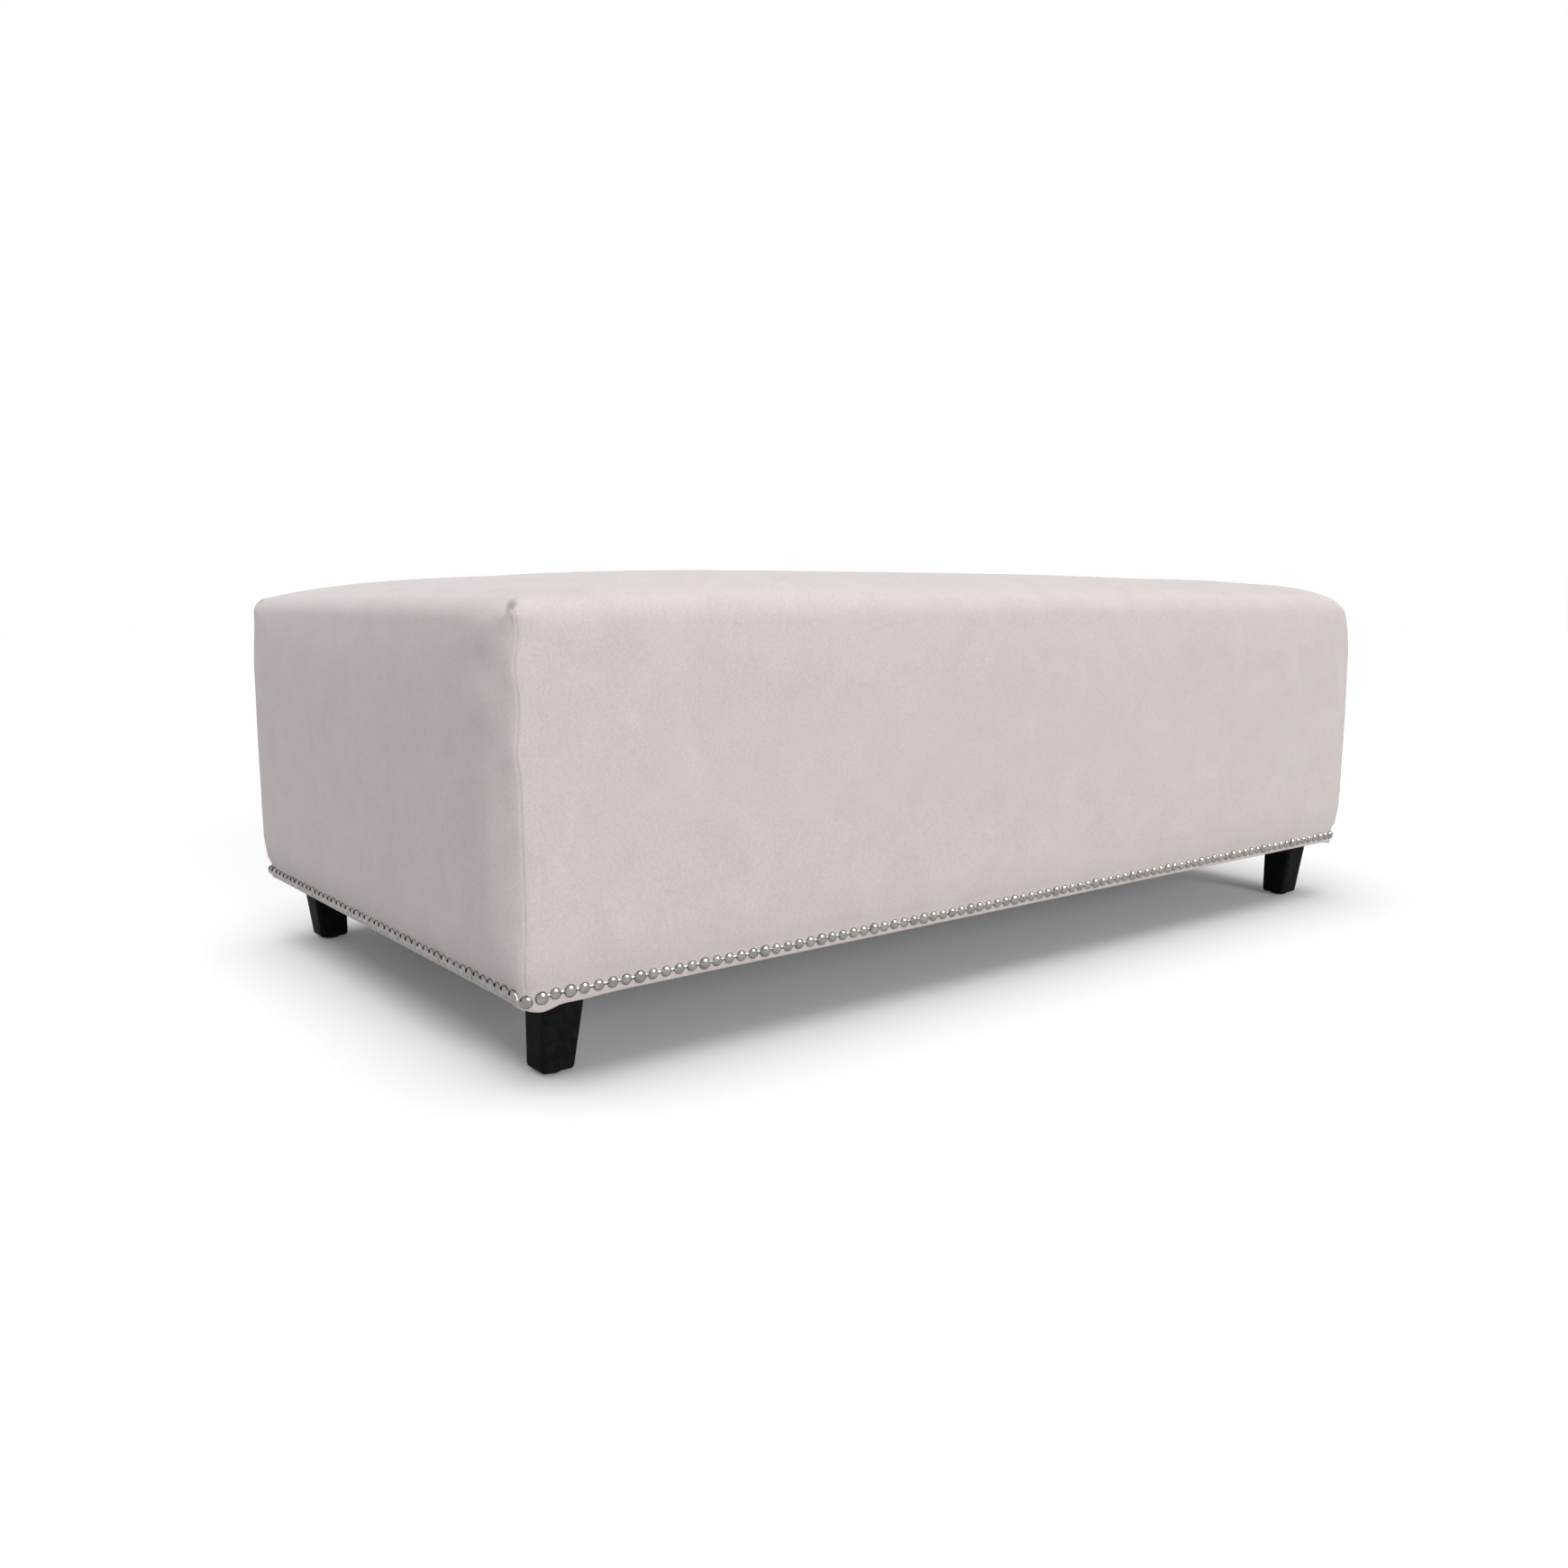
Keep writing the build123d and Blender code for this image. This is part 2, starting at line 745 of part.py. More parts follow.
for name, piece in (("leg_glides", glide), ("hanger_bolts", bolt), ("leg_inserts", insert)):
    with BuildPart() as group:
        with Locations(*leg_places.values()):
            add(piece.part)
    export(group, name)

with BuildPart() as dust_cover:
    with BuildSketch(Plane.XY.offset(leg_top)):
        RectangleRounded(
            cover_length - 2 * dust_cover_inset,
            cover_depth - 2 * dust_cover_inset,
            corner_radius - dust_cover_inset,
        )
        with Locations(*[(x_way * leg_x, y_way * leg_y) for x_way, y_way in CORNERS.values()]):
            Circle(bolt_diameter / 2 + fit_clearance, mode=Mode.SUBTRACT)
    extrude(amount=dust_cover_thickness)
    cut_staple_bores()
export(dust_cover, "dust_cover")
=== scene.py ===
# %% [markdown]
# An upholstered ottoman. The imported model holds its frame, springs, foam, legs and trim at their
# real sizes. This lesson dresses it: the sewn velvet cover, the linked nickel beads round its bottom
# edge, the black legs, and the hidden layers inside. Everything is in metres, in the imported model's frame.

# %% Load the frame
import math
import random

import bmesh
import bpy
from mathutils import Matrix, Vector, noise
from mathutils.bvhtree import BVHTree


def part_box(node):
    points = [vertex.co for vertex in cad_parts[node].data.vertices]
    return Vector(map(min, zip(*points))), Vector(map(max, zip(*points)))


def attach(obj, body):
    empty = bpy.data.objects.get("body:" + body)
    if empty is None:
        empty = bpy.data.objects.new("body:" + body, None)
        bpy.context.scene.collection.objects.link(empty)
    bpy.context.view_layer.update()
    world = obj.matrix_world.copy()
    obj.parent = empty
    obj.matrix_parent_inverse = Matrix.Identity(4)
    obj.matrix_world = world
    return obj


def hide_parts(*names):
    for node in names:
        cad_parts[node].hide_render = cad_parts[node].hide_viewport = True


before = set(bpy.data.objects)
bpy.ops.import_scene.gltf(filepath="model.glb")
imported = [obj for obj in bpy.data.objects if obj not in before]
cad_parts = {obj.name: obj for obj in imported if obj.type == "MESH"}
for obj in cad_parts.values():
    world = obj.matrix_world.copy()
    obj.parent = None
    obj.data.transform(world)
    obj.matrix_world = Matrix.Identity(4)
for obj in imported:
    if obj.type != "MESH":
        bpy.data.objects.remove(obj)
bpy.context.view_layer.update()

scene = bpy.context.scene
print("frame holds", len(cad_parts), "nodes")

# %% [markdown]
# The photograph is taken from the front left, from about the height of the ottoman's top edge. A camera
# is its place, its turn and its lens. These values were worked out from the even spacing of the beads
# and from the ottoman's straight edges, so the picture lines up with the photograph without any shift.

# %% Camera
camera_place = Vector((-1.0727, -1.2660, 0.4042))
camera_yaw = math.radians(37.92)
camera_pitch = math.radians(8.125)
lens = 30.331
sensor = 36

view = bpy.data.cameras.new("portrait_camera")
view.lens = lens
view.sensor_width = sensor
camera = bpy.data.objects.new("portrait_camera", view)
camera.location = camera_place
camera.rotation_euler = (math.radians(90) - camera_pitch, 0, -camera_yaw)
scene.collection.objects.link(camera)
scene.camera = camera
print("camera is", round(camera_place.length, 2), "m from the ottoman's middle")

# %% [markdown]
# Node trees are easier to read when each node is one line. One helper adds a node with its settings
# and socket values, one joins two sockets, and one starts a material.

# %% Helpers for node trees
def add_node(tree, kind, settings=None, **values):
    """A new node. Underscores in a socket's name stand for spaces."""
    made = tree.nodes.new(kind)
    for name, value in (settings or {}).items():
        setattr(made, name, value)
    for name, value in values.items():
        made.inputs[name.replace("_", " ")].default_value = value
    return made


def join(tree, source, output, target, socket):
    tree.links.new(source.outputs[output], target.inputs[socket])


def new_material(name, **values):
    """A material whose surface is a Principled BSDF with these socket values."""
    material = bpy.data.materials.new(name)
    material.use_nodes = True
    tree = material.node_tree
    surface = tree.nodes["Principled BSDF"]
    for socket, value in values.items():
        surface.inputs[socket.replace("_", " ")].default_value = value
    return material, tree, surface


def colour(red, green, blue):
    return (red, green, blue, 1)


# %% [markdown]
# The light is plain: a white surround that reaches every side, a wide soft light from almost straight
# above, and a low one in front. The one above lights the top and keeps the shadow close to the ottoman
# on every side. The low one lifts the front face over the left one, as in the photograph. A third light
# is only mirrored, as the bright spot on each bead, and the other two are not mirrored at all. In this
# way the trim gets its gloss without any change to the cloth. The camera sees the surround as white,
# directly or in a shiny bead.

# %% Light and surround
surround_light = 0.32
background_white = 1.0


def seen_rays(tree):
    """A value that is 1 for what the camera sees, straight or mirrored or through glass."""
    ray = add_node(tree, "ShaderNodeLightPath")
    straight = add_node(tree, "ShaderNodeMath", {"operation": "MAXIMUM"})
    every = add_node(tree, "ShaderNodeMath", {"operation": "MAXIMUM"})
    join(tree, ray, "Is Camera Ray", straight, 0)
    join(tree, ray, "Is Glossy Ray", straight, 1)
    join(tree, straight, 0, every, 0)
    join(tree, ray, "Is Transmission Ray", every, 1)
    return every


def add_sun(name, strength, spread, way, mirrored=True, lights=True):
    """A soft light from far away in the direction way, its spread in degrees.

    mirrored says whether shiny things show it, and lights whether it lights anything else.
    """
    light = bpy.data.lights.new(name, "SUN")
    light.energy = strength
    light.angle = math.radians(spread)
    lamp = bpy.data.objects.new(name, light)
    lamp.rotation_euler = Vector(way).to_track_quat("Z", "Y").to_euler()
    lamp.visible_glossy = mirrored
    lamp.visible_diffuse = lights
    scene.collection.objects.link(lamp)


world = bpy.data.worlds.new("surround")
scene.world = world
world.use_nodes = True
air = world.node_tree
sky = air.nodes["Background"]
sky.inputs["Color"].default_value = colour(1, 1, 1)
level = add_node(air, "ShaderNodeMapRange", To_Min=surround_light, To_Max=background_white)
join(air, seen_rays(air), 0, level, "Value")
join(air, level, "Result", sky, "Strength")

add_sun("light_above", strength=2.05, spread=62, way=(-0.14, 0.02, 1), mirrored=False)
add_sun("light_in_front", strength=1.50, spread=30, way=(-0.03, -0.95, 0.26), mirrored=False)
add_sun("light_on_trim", strength=5.8, spread=44, way=(0.24, -0.52, 0.82), lights=False)
scene.view_settings.view_transform = "Standard"
print("lights:", ", ".join(light.name for light in bpy.data.lights))

# %% [markdown]
# The floor is one wide grid of a pale matt paint. In this light the paint would look grey, and a
# stronger light would wash out the cloth. So what the camera sees of it has a lighter tone and a faint
# glow: the floor turns white a little way off, without an edge, and keeps the shadow.

# %% Floor
floor_size = 30
floor_colour = 0.55
floor_seen_colour = 0.90
floor_haze = 0.088

ground = bmesh.new()
bmesh.ops.create_grid(ground, x_segments=1, y_segments=1, size=floor_size / 2)
floor_mesh = bpy.data.meshes.new("floor")
ground.to_mesh(floor_mesh)
ground.free()
floor = bpy.data.objects.new("floor", floor_mesh)
scene.collection.objects.link(floor)

floor_paint, floor_tree, floor_surface = new_material("floor_paint", Roughness=0.9, Specular_IOR_Level=0.0)
seen = seen_rays(floor_tree)
floor_shade = add_node(floor_tree, "ShaderNodeMapRange", To_Min=floor_colour, To_Max=floor_seen_colour)
join(floor_tree, seen, 0, floor_shade, "Value")
join(floor_tree, floor_shade, "Result", floor_surface, "Base Color")
haze = add_node(floor_tree, "ShaderNodeMapRange", To_Min=0, To_Max=floor_haze)
join(floor_tree, seen, 0, haze, "Value")
join(floor_tree, haze, "Result", floor_surface, "Emission Strength")
floor_surface.inputs["Emission Color"].default_value = colour(1, 1, 1)
floor_mesh.materials.append(floor_paint)
print("floor is", floor_size, "m wide")

# %% [markdown]
# Metal looks like metal only when it mirrors something dark. A black card stands far behind the ottoman
# and shows in nothing but mirrors, so the beads of the left end get a dark upper half.

# %% Dark card
card_spot = (-1.6, 1.7, 0.9)
card_half_size = (2.4, 0.9, 1, 1)
card_tone = colour(0.02, 0.02, 0.02)

card_form = bmesh.new()
bmesh.ops.create_grid(card_form, x_segments=1, y_segments=1, size=1)
card_place = Matrix.Translation(card_spot) @ Matrix.Rotation(math.radians(90), 4, "X")
bmesh.ops.transform(card_form, matrix=card_place @ Matrix.Diagonal(card_half_size), verts=card_form.verts)
card_mesh = bpy.data.meshes.new("dark_card")
card_form.to_mesh(card_mesh)
card_form.free()
card = bpy.data.objects.new("dark_card", card_mesh)
scene.collection.objects.link(card)
for sight in ("camera", "diffuse", "transmission", "volume_scatter", "shadow"):
    setattr(card, "visible_" + sight, False)
card_black, _, card_surface = new_material("card_black", Roughness=0.9, Specular_IOR_Level=0.0)
card_surface.inputs["Base Color"].default_value = card_tone
card_mesh.materials.append(card_black)
print("card is", 2 * card_half_size[0], "m wide")

# %% [markdown]
# Several finishes share an effect. Each shared effect is a node group with named inputs and outputs,
# built once: a soft mottle for cloth, a grain for wood, and a fine pitting for metal and plastic.

# %% Helpers for shader groups
def new_group(name, inputs, outputs):
    """An empty node group with these sockets: inputs is name to default value, outputs is a list."""
    group = bpy.data.node_groups.new(name, "ShaderNodeTree")
    group.interface.new_socket("Position", in_out="INPUT", socket_type="NodeSocketVector")
    for socket, value in inputs.items():
        made = group.interface.new_socket(socket, in_out="INPUT", socket_type="NodeSocketFloat")
        made.default_value = value
    for socket in outputs:
        group.interface.new_socket(socket, in_out="OUTPUT", socket_type="NodeSocketFloat")
    start = group.nodes.new("NodeGroupInput")
    end = group.nodes.new("NodeGroupOutput")
    return group, start, end


def use_group(tree, group, **values):
    """Place a group in a material, reading the piece's own object coordinates."""
    made = add_node(tree, "ShaderNodeGroup", {"node_tree": group}, **values)
    place = add_node(tree, "ShaderNodeTexCoord")
    join(tree, place, "Object", made, "Position")
    return made


# %% [markdown]
# Pile and felt have patches where the fibres lean another way, longer streaks, and a fine grain. Three
# noises of different size give them. The one for the streaks is drawn out by a Mapping node.

# %% Cloth mottle
streaks_per_patch = 2.6

cloth_mottle, start, end = new_group(
    "cloth_mottle", {"Patch Scale": 22, "Grain Scale": 900}, ["Patches", "Streaks", "Grain"]
)
patches = add_node(cloth_mottle, "ShaderNodeTexNoise", Detail=4, Roughness=0.55, Distortion=0.6)
join(cloth_mottle, start, "Position", patches, "Vector")
join(cloth_mottle, start, "Patch Scale", patches, "Scale")
brushed = add_node(cloth_mottle, "ShaderNodeMapping", Scale=(0.7, 0.7, 0.22), Rotation=(0.35, 0.5, 0.2))
join(cloth_mottle, start, "Position", brushed, "Vector")
wider = add_node(cloth_mottle, "ShaderNodeMath", {"operation": "MULTIPLY"})
wider.inputs[1].default_value = streaks_per_patch
join(cloth_mottle, start, "Patch Scale", wider, 0)
streaks = add_node(cloth_mottle, "ShaderNodeTexNoise", Detail=3, Roughness=0.6)
join(cloth_mottle, brushed, "Vector", streaks, "Vector")
join(cloth_mottle, wider, "Value", streaks, "Scale")
grain = add_node(cloth_mottle, "ShaderNodeTexNoise", Detail=2, Roughness=0.7)
join(cloth_mottle, start, "Position", grain, "Vector")
join(cloth_mottle, start, "Grain Scale", grain, "Scale")
join(cloth_mottle, patches, "Fac", end, "Patches")
join(cloth_mottle, streaks, "Fac", end, "Streaks")
join(cloth_mottle, grain, "Fac", end, "Grain")
print(cloth_mottle.name, "has", len(cloth_mottle.nodes), "nodes")

# %% [markdown]
# Wood has rings that run along the board and fine pores. Both are noises drawn out along X by the same
# amount, since most of the frame's boards lie along the ottoman.

# %% Wood grain
wood_grain, start, end = new_group("wood_grain", {"Ring Scale": 60, "Stretch": 0.06}, ["Rings", "Pores"])
along = add_node(wood_grain, "ShaderNodeVectorMath", {"operation": "MULTIPLY"})
long_way = add_node(wood_grain, "ShaderNodeCombineXYZ", Y=1, Z=1)
join(wood_grain, start, "Stretch", long_way, "X")
join(wood_grain, start, "Position", along, 0)
join(wood_grain, long_way, "Vector", along, 1)
rings = add_node(wood_grain, "ShaderNodeTexNoise", Detail=3, Distortion=1.2)
join(wood_grain, along, "Vector", rings, "Vector")
join(wood_grain, start, "Ring Scale", rings, "Scale")
pores = add_node(wood_grain, "ShaderNodeTexNoise", Scale=900, Detail=2)
join(wood_grain, along, "Vector", pores, "Vector")
join(wood_grain, rings, "Fac", end, "Rings")
join(wood_grain, pores, "Fac", end, "Pores")
print(wood_grain.name, "has", len(wood_grain.nodes), "nodes")

# %% [markdown]
# Plated metal and moulded plastic look smooth, but have tiny pits and wide faint smudges.

# %% Fine pitting
fine_pitting, start, end = new_group("fine_pitting", {"Pit Scale": 700}, ["Pits", "Smudges"])
pits = add_node(fine_pitting, "ShaderNodeTexNoise", Detail=3, Roughness=0.6)
join(fine_pitting, start, "Position", pits, "Vector")
join(fine_pitting, start, "Pit Scale", pits, "Scale")
smudges = add_node(fine_pitting, "ShaderNodeTexNoise", Scale=90, Detail=4)
join(fine_pitting, start, "Position", smudges, "Vector")
join(fine_pitting, pits, "Fac", end, "Pits")
join(fine_pitting, smudges, "Fac", end, "Smudges")
print("shader groups:", ", ".join(g.name for g in bpy.data.node_groups))


# %% [markdown]
# A finish looks real when its colour, its roughness and its relief all change a little over the surface.
# Each helper leads one output of a shared effect to one of the three. A noise hardly leaves the range
# from noise_low to noise_high, so that is the range they spread. Blender's Mix node has sockets for
# several kinds of value, so its colour sockets are called by their numbers.

# %% Helpers for finishes
mix_share, mix_dark, mix_light, mixed_colour = 0, 6, 7, 2
noise_low, noise_high = 0.3, 0.7


def blend_colours(tree, source, output, dark, light, low=noise_low, high=noise_high):
    """A colour that goes from dark to light as the source's output goes from low to high."""
    spread = add_node(tree, "ShaderNodeMapRange", From_Min=low, From_Max=high)
    join(tree, source, output, spread, "Value")
    mixed = add_node(tree, "ShaderNodeMix", {"data_type": "RGBA"})
    mixed.inputs[mix_dark].default_value = dark
    mixed.inputs[mix_light].default_value = light
    join(tree, spread, "Result", mixed, mix_share)
    return mixed


def vary_roughness(tree, surface, source, output, low, high):
    """Roughness that goes from low to high with the source's output."""
    spread = add_node(
        tree, "ShaderNodeMapRange", From_Min=noise_low, From_Max=noise_high, To_Min=low, To_Max=high
    )
    join(tree, source, output, spread, "Value")
    join(tree, spread, "Result", surface, "Roughness")


def raise_surface(tree, surface, source, output, distance, strength=1.0):
    """Bump of that depth in metres from the source's output."""
    bump = add_node(tree, "ShaderNodeBump", Strength=strength, Distance=distance)
    join(tree, source, output, bump, "Height")
    join(tree, bump, "Normal", surface, "Normal")


# %% [markdown]
# Velvet is a short pile. It has no gloss, but its fibre tips catch light that comes in low, which
# Blender's sheen gives. Where a hand has brushed it, the pile leans another way and the shade changes
# a little, so the colour is a quiet mottle of two near tones with a fine grain over it.

# %% Velvet
pile_tones = (colour(0.606, 0.543, 0.529), colour(0.650, 0.588, 0.574))
grain_tones = (colour(0.93, 0.93, 0.93), colour(1.05, 1.05, 1.05))

velvet, tree, surface = new_material(
    "blush_velvet",
    Roughness=0.9,
    Specular_IOR_Level=0.15,
    Sheen_Weight=0.25,
    Sheen_Roughness=0.45,
)
nap = use_group(tree, cloth_mottle, Patch_Scale=22, Grain_Scale=480)
shade = blend_colours(tree, nap, "Patches", *pile_tones, low=0.25, high=0.75)
grain_tone = blend_colours(tree, nap, "Grain", *grain_tones)
toned = add_node(tree, "ShaderNodeMix", {"data_type": "RGBA", "blend_type": "MULTIPLY"}, Factor=1.0)
join(tree, shade, mixed_colour, toned, mix_dark)
join(tree, grain_tone, mixed_colour, toned, mix_light)
raise_surface(tree, surface, nap, "Grain", distance=0.0004, strength=0.5)
print("velvet has", len(tree.nodes), "nodes so far")

# %% [markdown]
# At the top of each corner seam the cloth is tucked in so deep that little light gets there. The fold is
# too narrow for the cover's mesh to make that shade, so it is painted: a soft dark patch in the velvet's
# colour. The four tucks mirror one another, so the absolute position needs only one place, and the seam
# gives it later.

# %% Painted shade of the tucks
tuck_size = (0.05, 0.0040, 0.0066)
painted_tuck_shade_tone = colour(0.20, 0.175, 0.17)
painted_tuck_shade_strength = 0.62

place = add_node(tree, "ShaderNodeTexCoord")
one_corner = add_node(tree, "ShaderNodeVectorMath", {"operation": "ABSOLUTE"})
tuck_place = add_node(
    tree, "ShaderNodeMapping", {"vector_type": "TEXTURE"},
    Rotation=(0, 0, math.radians(45)), Scale=tuck_size
)
from_tuck = add_node(tree, "ShaderNodeVectorMath", {"operation": "LENGTH"})
in_painted_tuck_shade = add_node(
    tree, "ShaderNodeMapRange", {"interpolation_type": "SMOOTHSTEP"},
    From_Min=1.5, From_Max=0.2, To_Min=0, To_Max=painted_tuck_shade_strength
)
# Painted shade: in each tuck the velvet's colour is darkened towards a dark tone, where little light gets.
shadow = add_node(tree, "ShaderNodeMix", {"data_type": "RGBA"})
shadow.inputs[mix_light].default_value = painted_tuck_shade_tone
join(tree, place, "Object", one_corner, 0)
join(tree, one_corner, "Vector", tuck_place, "Vector")
join(tree, tuck_place, "Vector", from_tuck, 0)
join(tree, from_tuck, "Value", in_painted_tuck_shade, "Value")
join(tree, in_painted_tuck_shade, "Result", shadow, mix_share)
join(tree, toned, mixed_colour, shadow, mix_dark)
join(tree, shadow, mixed_colour, surface, "Base Color")
print("velvet has", len(tree.nodes), "nodes")

# %% [markdown]
# The trim is nickel-plated steel, a warm grey mirror that has dulled a little. The legs are wood
# under satin black lacquer, which still shows a trace of the grain.

# %% Nickel and lacquer
nickel_tones = (colour(0.245, 0.236, 0.222), colour(0.365, 0.352, 0.330))
lacquer_tones = (colour(0.007, 0.0075, 0.0075), colour(0.012, 0.014, 0.015))

nickel, tree, surface = new_material("nickel_plate", Metallic=1.0)
plate = use_group(tree, fine_pitting, Pit_Scale=900)
tarnish = blend_colours(tree, plate, "Smudges", *nickel_tones)
join(tree, tarnish, mixed_colour, surface, "Base Color")
vary_roughness(tree, surface, plate, "Smudges", low=0.12, high=0.20)
raise_surface(tree, surface, plate, "Pits", distance=0.00004)

lacquer, tree, surface = new_material("black_lacquer", Specular_IOR_Level=0.012)
veins = use_group(tree, wood_grain, Ring_Scale=90, Stretch=1)
black = blend_colours(tree, veins, "Rings", *lacquer_tones)
join(tree, black, mixed_colour, surface, "Base Color")
vary_roughness(tree, surface, veins, "Pores", low=0.36, high=0.52)
raise_surface(tree, surface, veins, "Pores", distance=0.0001, strength=0.5)
print("finishes outside:", velvet.name, nickel.name, lacquer.name)


# %% [markdown]
# Nothing of the inside shows, but the part can be taken apart, so each hidden material has a real
# finish too. They come from the same few effects, so one function makes each from its two tones.

# %% Finishes of the inside
def finish_of(name, group, output, dark, light, bump_output, rough, depth, **values):
    """A material of two tones, an even roughness and a bump of that depth, from one shared group."""
    made, tree, surface = new_material(name, Roughness=rough, **values)
    effect = use_group(tree, group)
    tones = blend_colours(tree, effect, output, colour(*dark), colour(*light))
    join(tree, tones, mixed_colour, surface, "Base Color")
    raise_surface(tree, surface, effect, bump_output, depth)
    return made


frame_wood = finish_of(
    "frame_pine", wood_grain, "Rings", (0.50, 0.32, 0.16), (0.66, 0.47, 0.27),
    "Pores", rough=0.7, depth=0.0002
)
dowel_wood = finish_of(
    "dowel_beech", wood_grain, "Pores", (0.45, 0.29, 0.17), (0.56, 0.38, 0.24),
    "Pores", rough=0.6, depth=0.0001
)
board = finish_of(
    "side_board", cloth_mottle, "Streaks", (0.26, 0.18, 0.11), (0.36, 0.26, 0.16),
    "Grain", rough=0.85, depth=0.0002
)
spring_steel = finish_of(
    "spring_steel", fine_pitting, "Smudges", (0.20, 0.20, 0.21), (0.33, 0.33, 0.34),
    "Pits", rough=0.42, depth=0.00005, Metallic=1.0
)
zinc = finish_of(
    "zinc_plate", fine_pitting, "Smudges", (0.50, 0.51, 0.52), (0.66, 0.67, 0.69),
    "Pits", rough=0.36, depth=0.00004, Metallic=1.0
)
glide_plastic = finish_of(
    "glide_plastic", fine_pitting, "Smudges", (0.012, 0.012, 0.013), (0.022, 0.022, 0.024),
    "Pits", rough=0.5, depth=0.00006
)
wadding_fibre = finish_of(
    "wadding_fibre", cloth_mottle, "Patches", (0.70, 0.70, 0.68), (0.84, 0.84, 0.82),
    "Streaks", rough=0.95, depth=0.002, Sheen_Weight=0.3
)
foam_cells = finish_of(
    "foam_cells", cloth_mottle, "Grain", (0.62, 0.54, 0.34), (0.78, 0.71, 0.50),
    "Grain", rough=0.95, depth=0.0006
)
jute = finish_of(
    "jute_cloth", cloth_mottle, "Grain", (0.32, 0.23, 0.13), (0.50, 0.38, 0.23),
    "Grain", rough=0.95, depth=0.0008
)
dust_cloth = finish_of(
    "dust_cloth", cloth_mottle, "Grain", (0.014, 0.014, 0.015), (0.035, 0.035, 0.037),
    "Grain", rough=0.9, depth=0.0003, Specular_IOR_Level=0.25
)
print("materials:", len(bpy.data.materials))

# %% [markdown]
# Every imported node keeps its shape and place, and takes its finish from the list below by the start
# of its name. The first start that fits counts, so a longer one stands before a shorter one.

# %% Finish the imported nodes
finishes = {
    "nailhead_strip": nickel,
    "strip_nails": nickel,
    "corner_nails": nickel,
    "leg_glides": glide_plastic,
    "leg_inserts": zinc,
    "leg_": lacquer,
    "hanger_bolts": zinc,
    "stretcher_screws": zinc,
    "clip_nails": zinc,
    "spring_clips": zinc,
    "dust_cover_staples": zinc,
    "sinuous_springs": spring_steel,
    "frame_dowels": dowel_wood,
    "side_board": board,
    "corner_post": frame_wood,
    "middle_post": frame_wood,
    "bottom_rail": frame_wood,
    "top_rail": frame_wood,
    "base_stretcher": frame_wood,
    "top_spreader": frame_wood,
    "fabric_cover": velvet,
    "wadding": wadding_fibre,
    "foam_pad": foam_cells,
    "deck_cloth": jute,
    "dust_cover": dust_cloth,
}
for name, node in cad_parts.items():
    start = next(s for s in finishes if name.startswith(s))
    node.data.materials.clear()
    node.data.materials.append(finishes[start])
print("finished", len(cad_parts), "packed nodes")


# %% [markdown]
# New pieces start as a bmesh, which Blender's operators shape, and end as an object that sits at the
# origin with its place in its mesh.

# %% Helpers for meshes
def piece_from(form, name, material, packed_node):
    """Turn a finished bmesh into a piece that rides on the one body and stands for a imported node."""
    mesh = bpy.data.meshes.new(name)
    form.to_mesh(mesh)
    form.free()
    mesh.shade_smooth()
    mesh.materials.append(material)
    piece = bpy.data.objects.new(name, mesh)
    scene.collection.objects.link(piece)
    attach(piece, "root")
    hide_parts(packed_node)
    return piece


def bake_modifiers(piece):
    """Put what the modifiers make of the piece into its mesh."""
    graph = bpy.context.evaluated_depsgraph_get()
    made = bpy.data.meshes.new_from_object(piece.evaluated_get(graph))
    plain = piece.data
    piece.modifiers.clear()
    piece.data = made
    bpy.data.meshes.remove(plain)


def read_form(piece):
    """A bmesh of the piece's own mesh."""
    form = bmesh.new()
    form.from_mesh(piece.data)
    return form


def all_of(form):
    """Every vertex, edge and face of a bmesh."""
    return form.verts[:] + form.edges[:] + form.faces[:]


def faces_of(piece):
    """How many faces the piece has with its modifiers."""
    graph = bpy.context.evaluated_depsgraph_get()
    return len(piece.evaluated_get(graph).data.polygons)


# %% [markdown]
# The cover takes its length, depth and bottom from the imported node. Its corners are a little tighter
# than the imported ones, because the photograph's outline shows them so.

# %% Sizes of the cover
cover_low, cover_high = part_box("fabric_cover")
half_length = cover_high.x
half_depth = cover_high.y
cover_bottom = cover_low.z
shoulder_height = 0.3275
crown_height = 0.0274
end_power = 6.6
side_power = 7.0
corner_radius = 0.018
packed_radius = 0.022
grid_step = 0.016
arc_steps = 6
print("cover is", round(2 * half_length, 3), "m long and", round(2 * half_depth, 3), "m deep")


# %% [markdown]
# The cover's shape is a box with rounded upright corners and a soft shoulder all round its top. A cube
# is scaled, its edges are bevelled, and planes cut it into an even grid, so that the cloth can bend
# everywhere.

# %% Rounded box
cut_tolerance = 1e-6


def cut_evenly(form, axis, low, high, step):
    """Cut the form with planes square to an axis, evenly between low and high."""
    count = max(1, round((high - low) / step))
    normal = Vector((0, 0, 0))
    normal[axis] = 1
    for n in range(1, count):
        spot = normal * (low + (high - low) * n / count)
        bmesh.ops.bisect_plane(form, geom=all_of(form), plane_co=spot, plane_no=normal, dist=cut_tolerance)


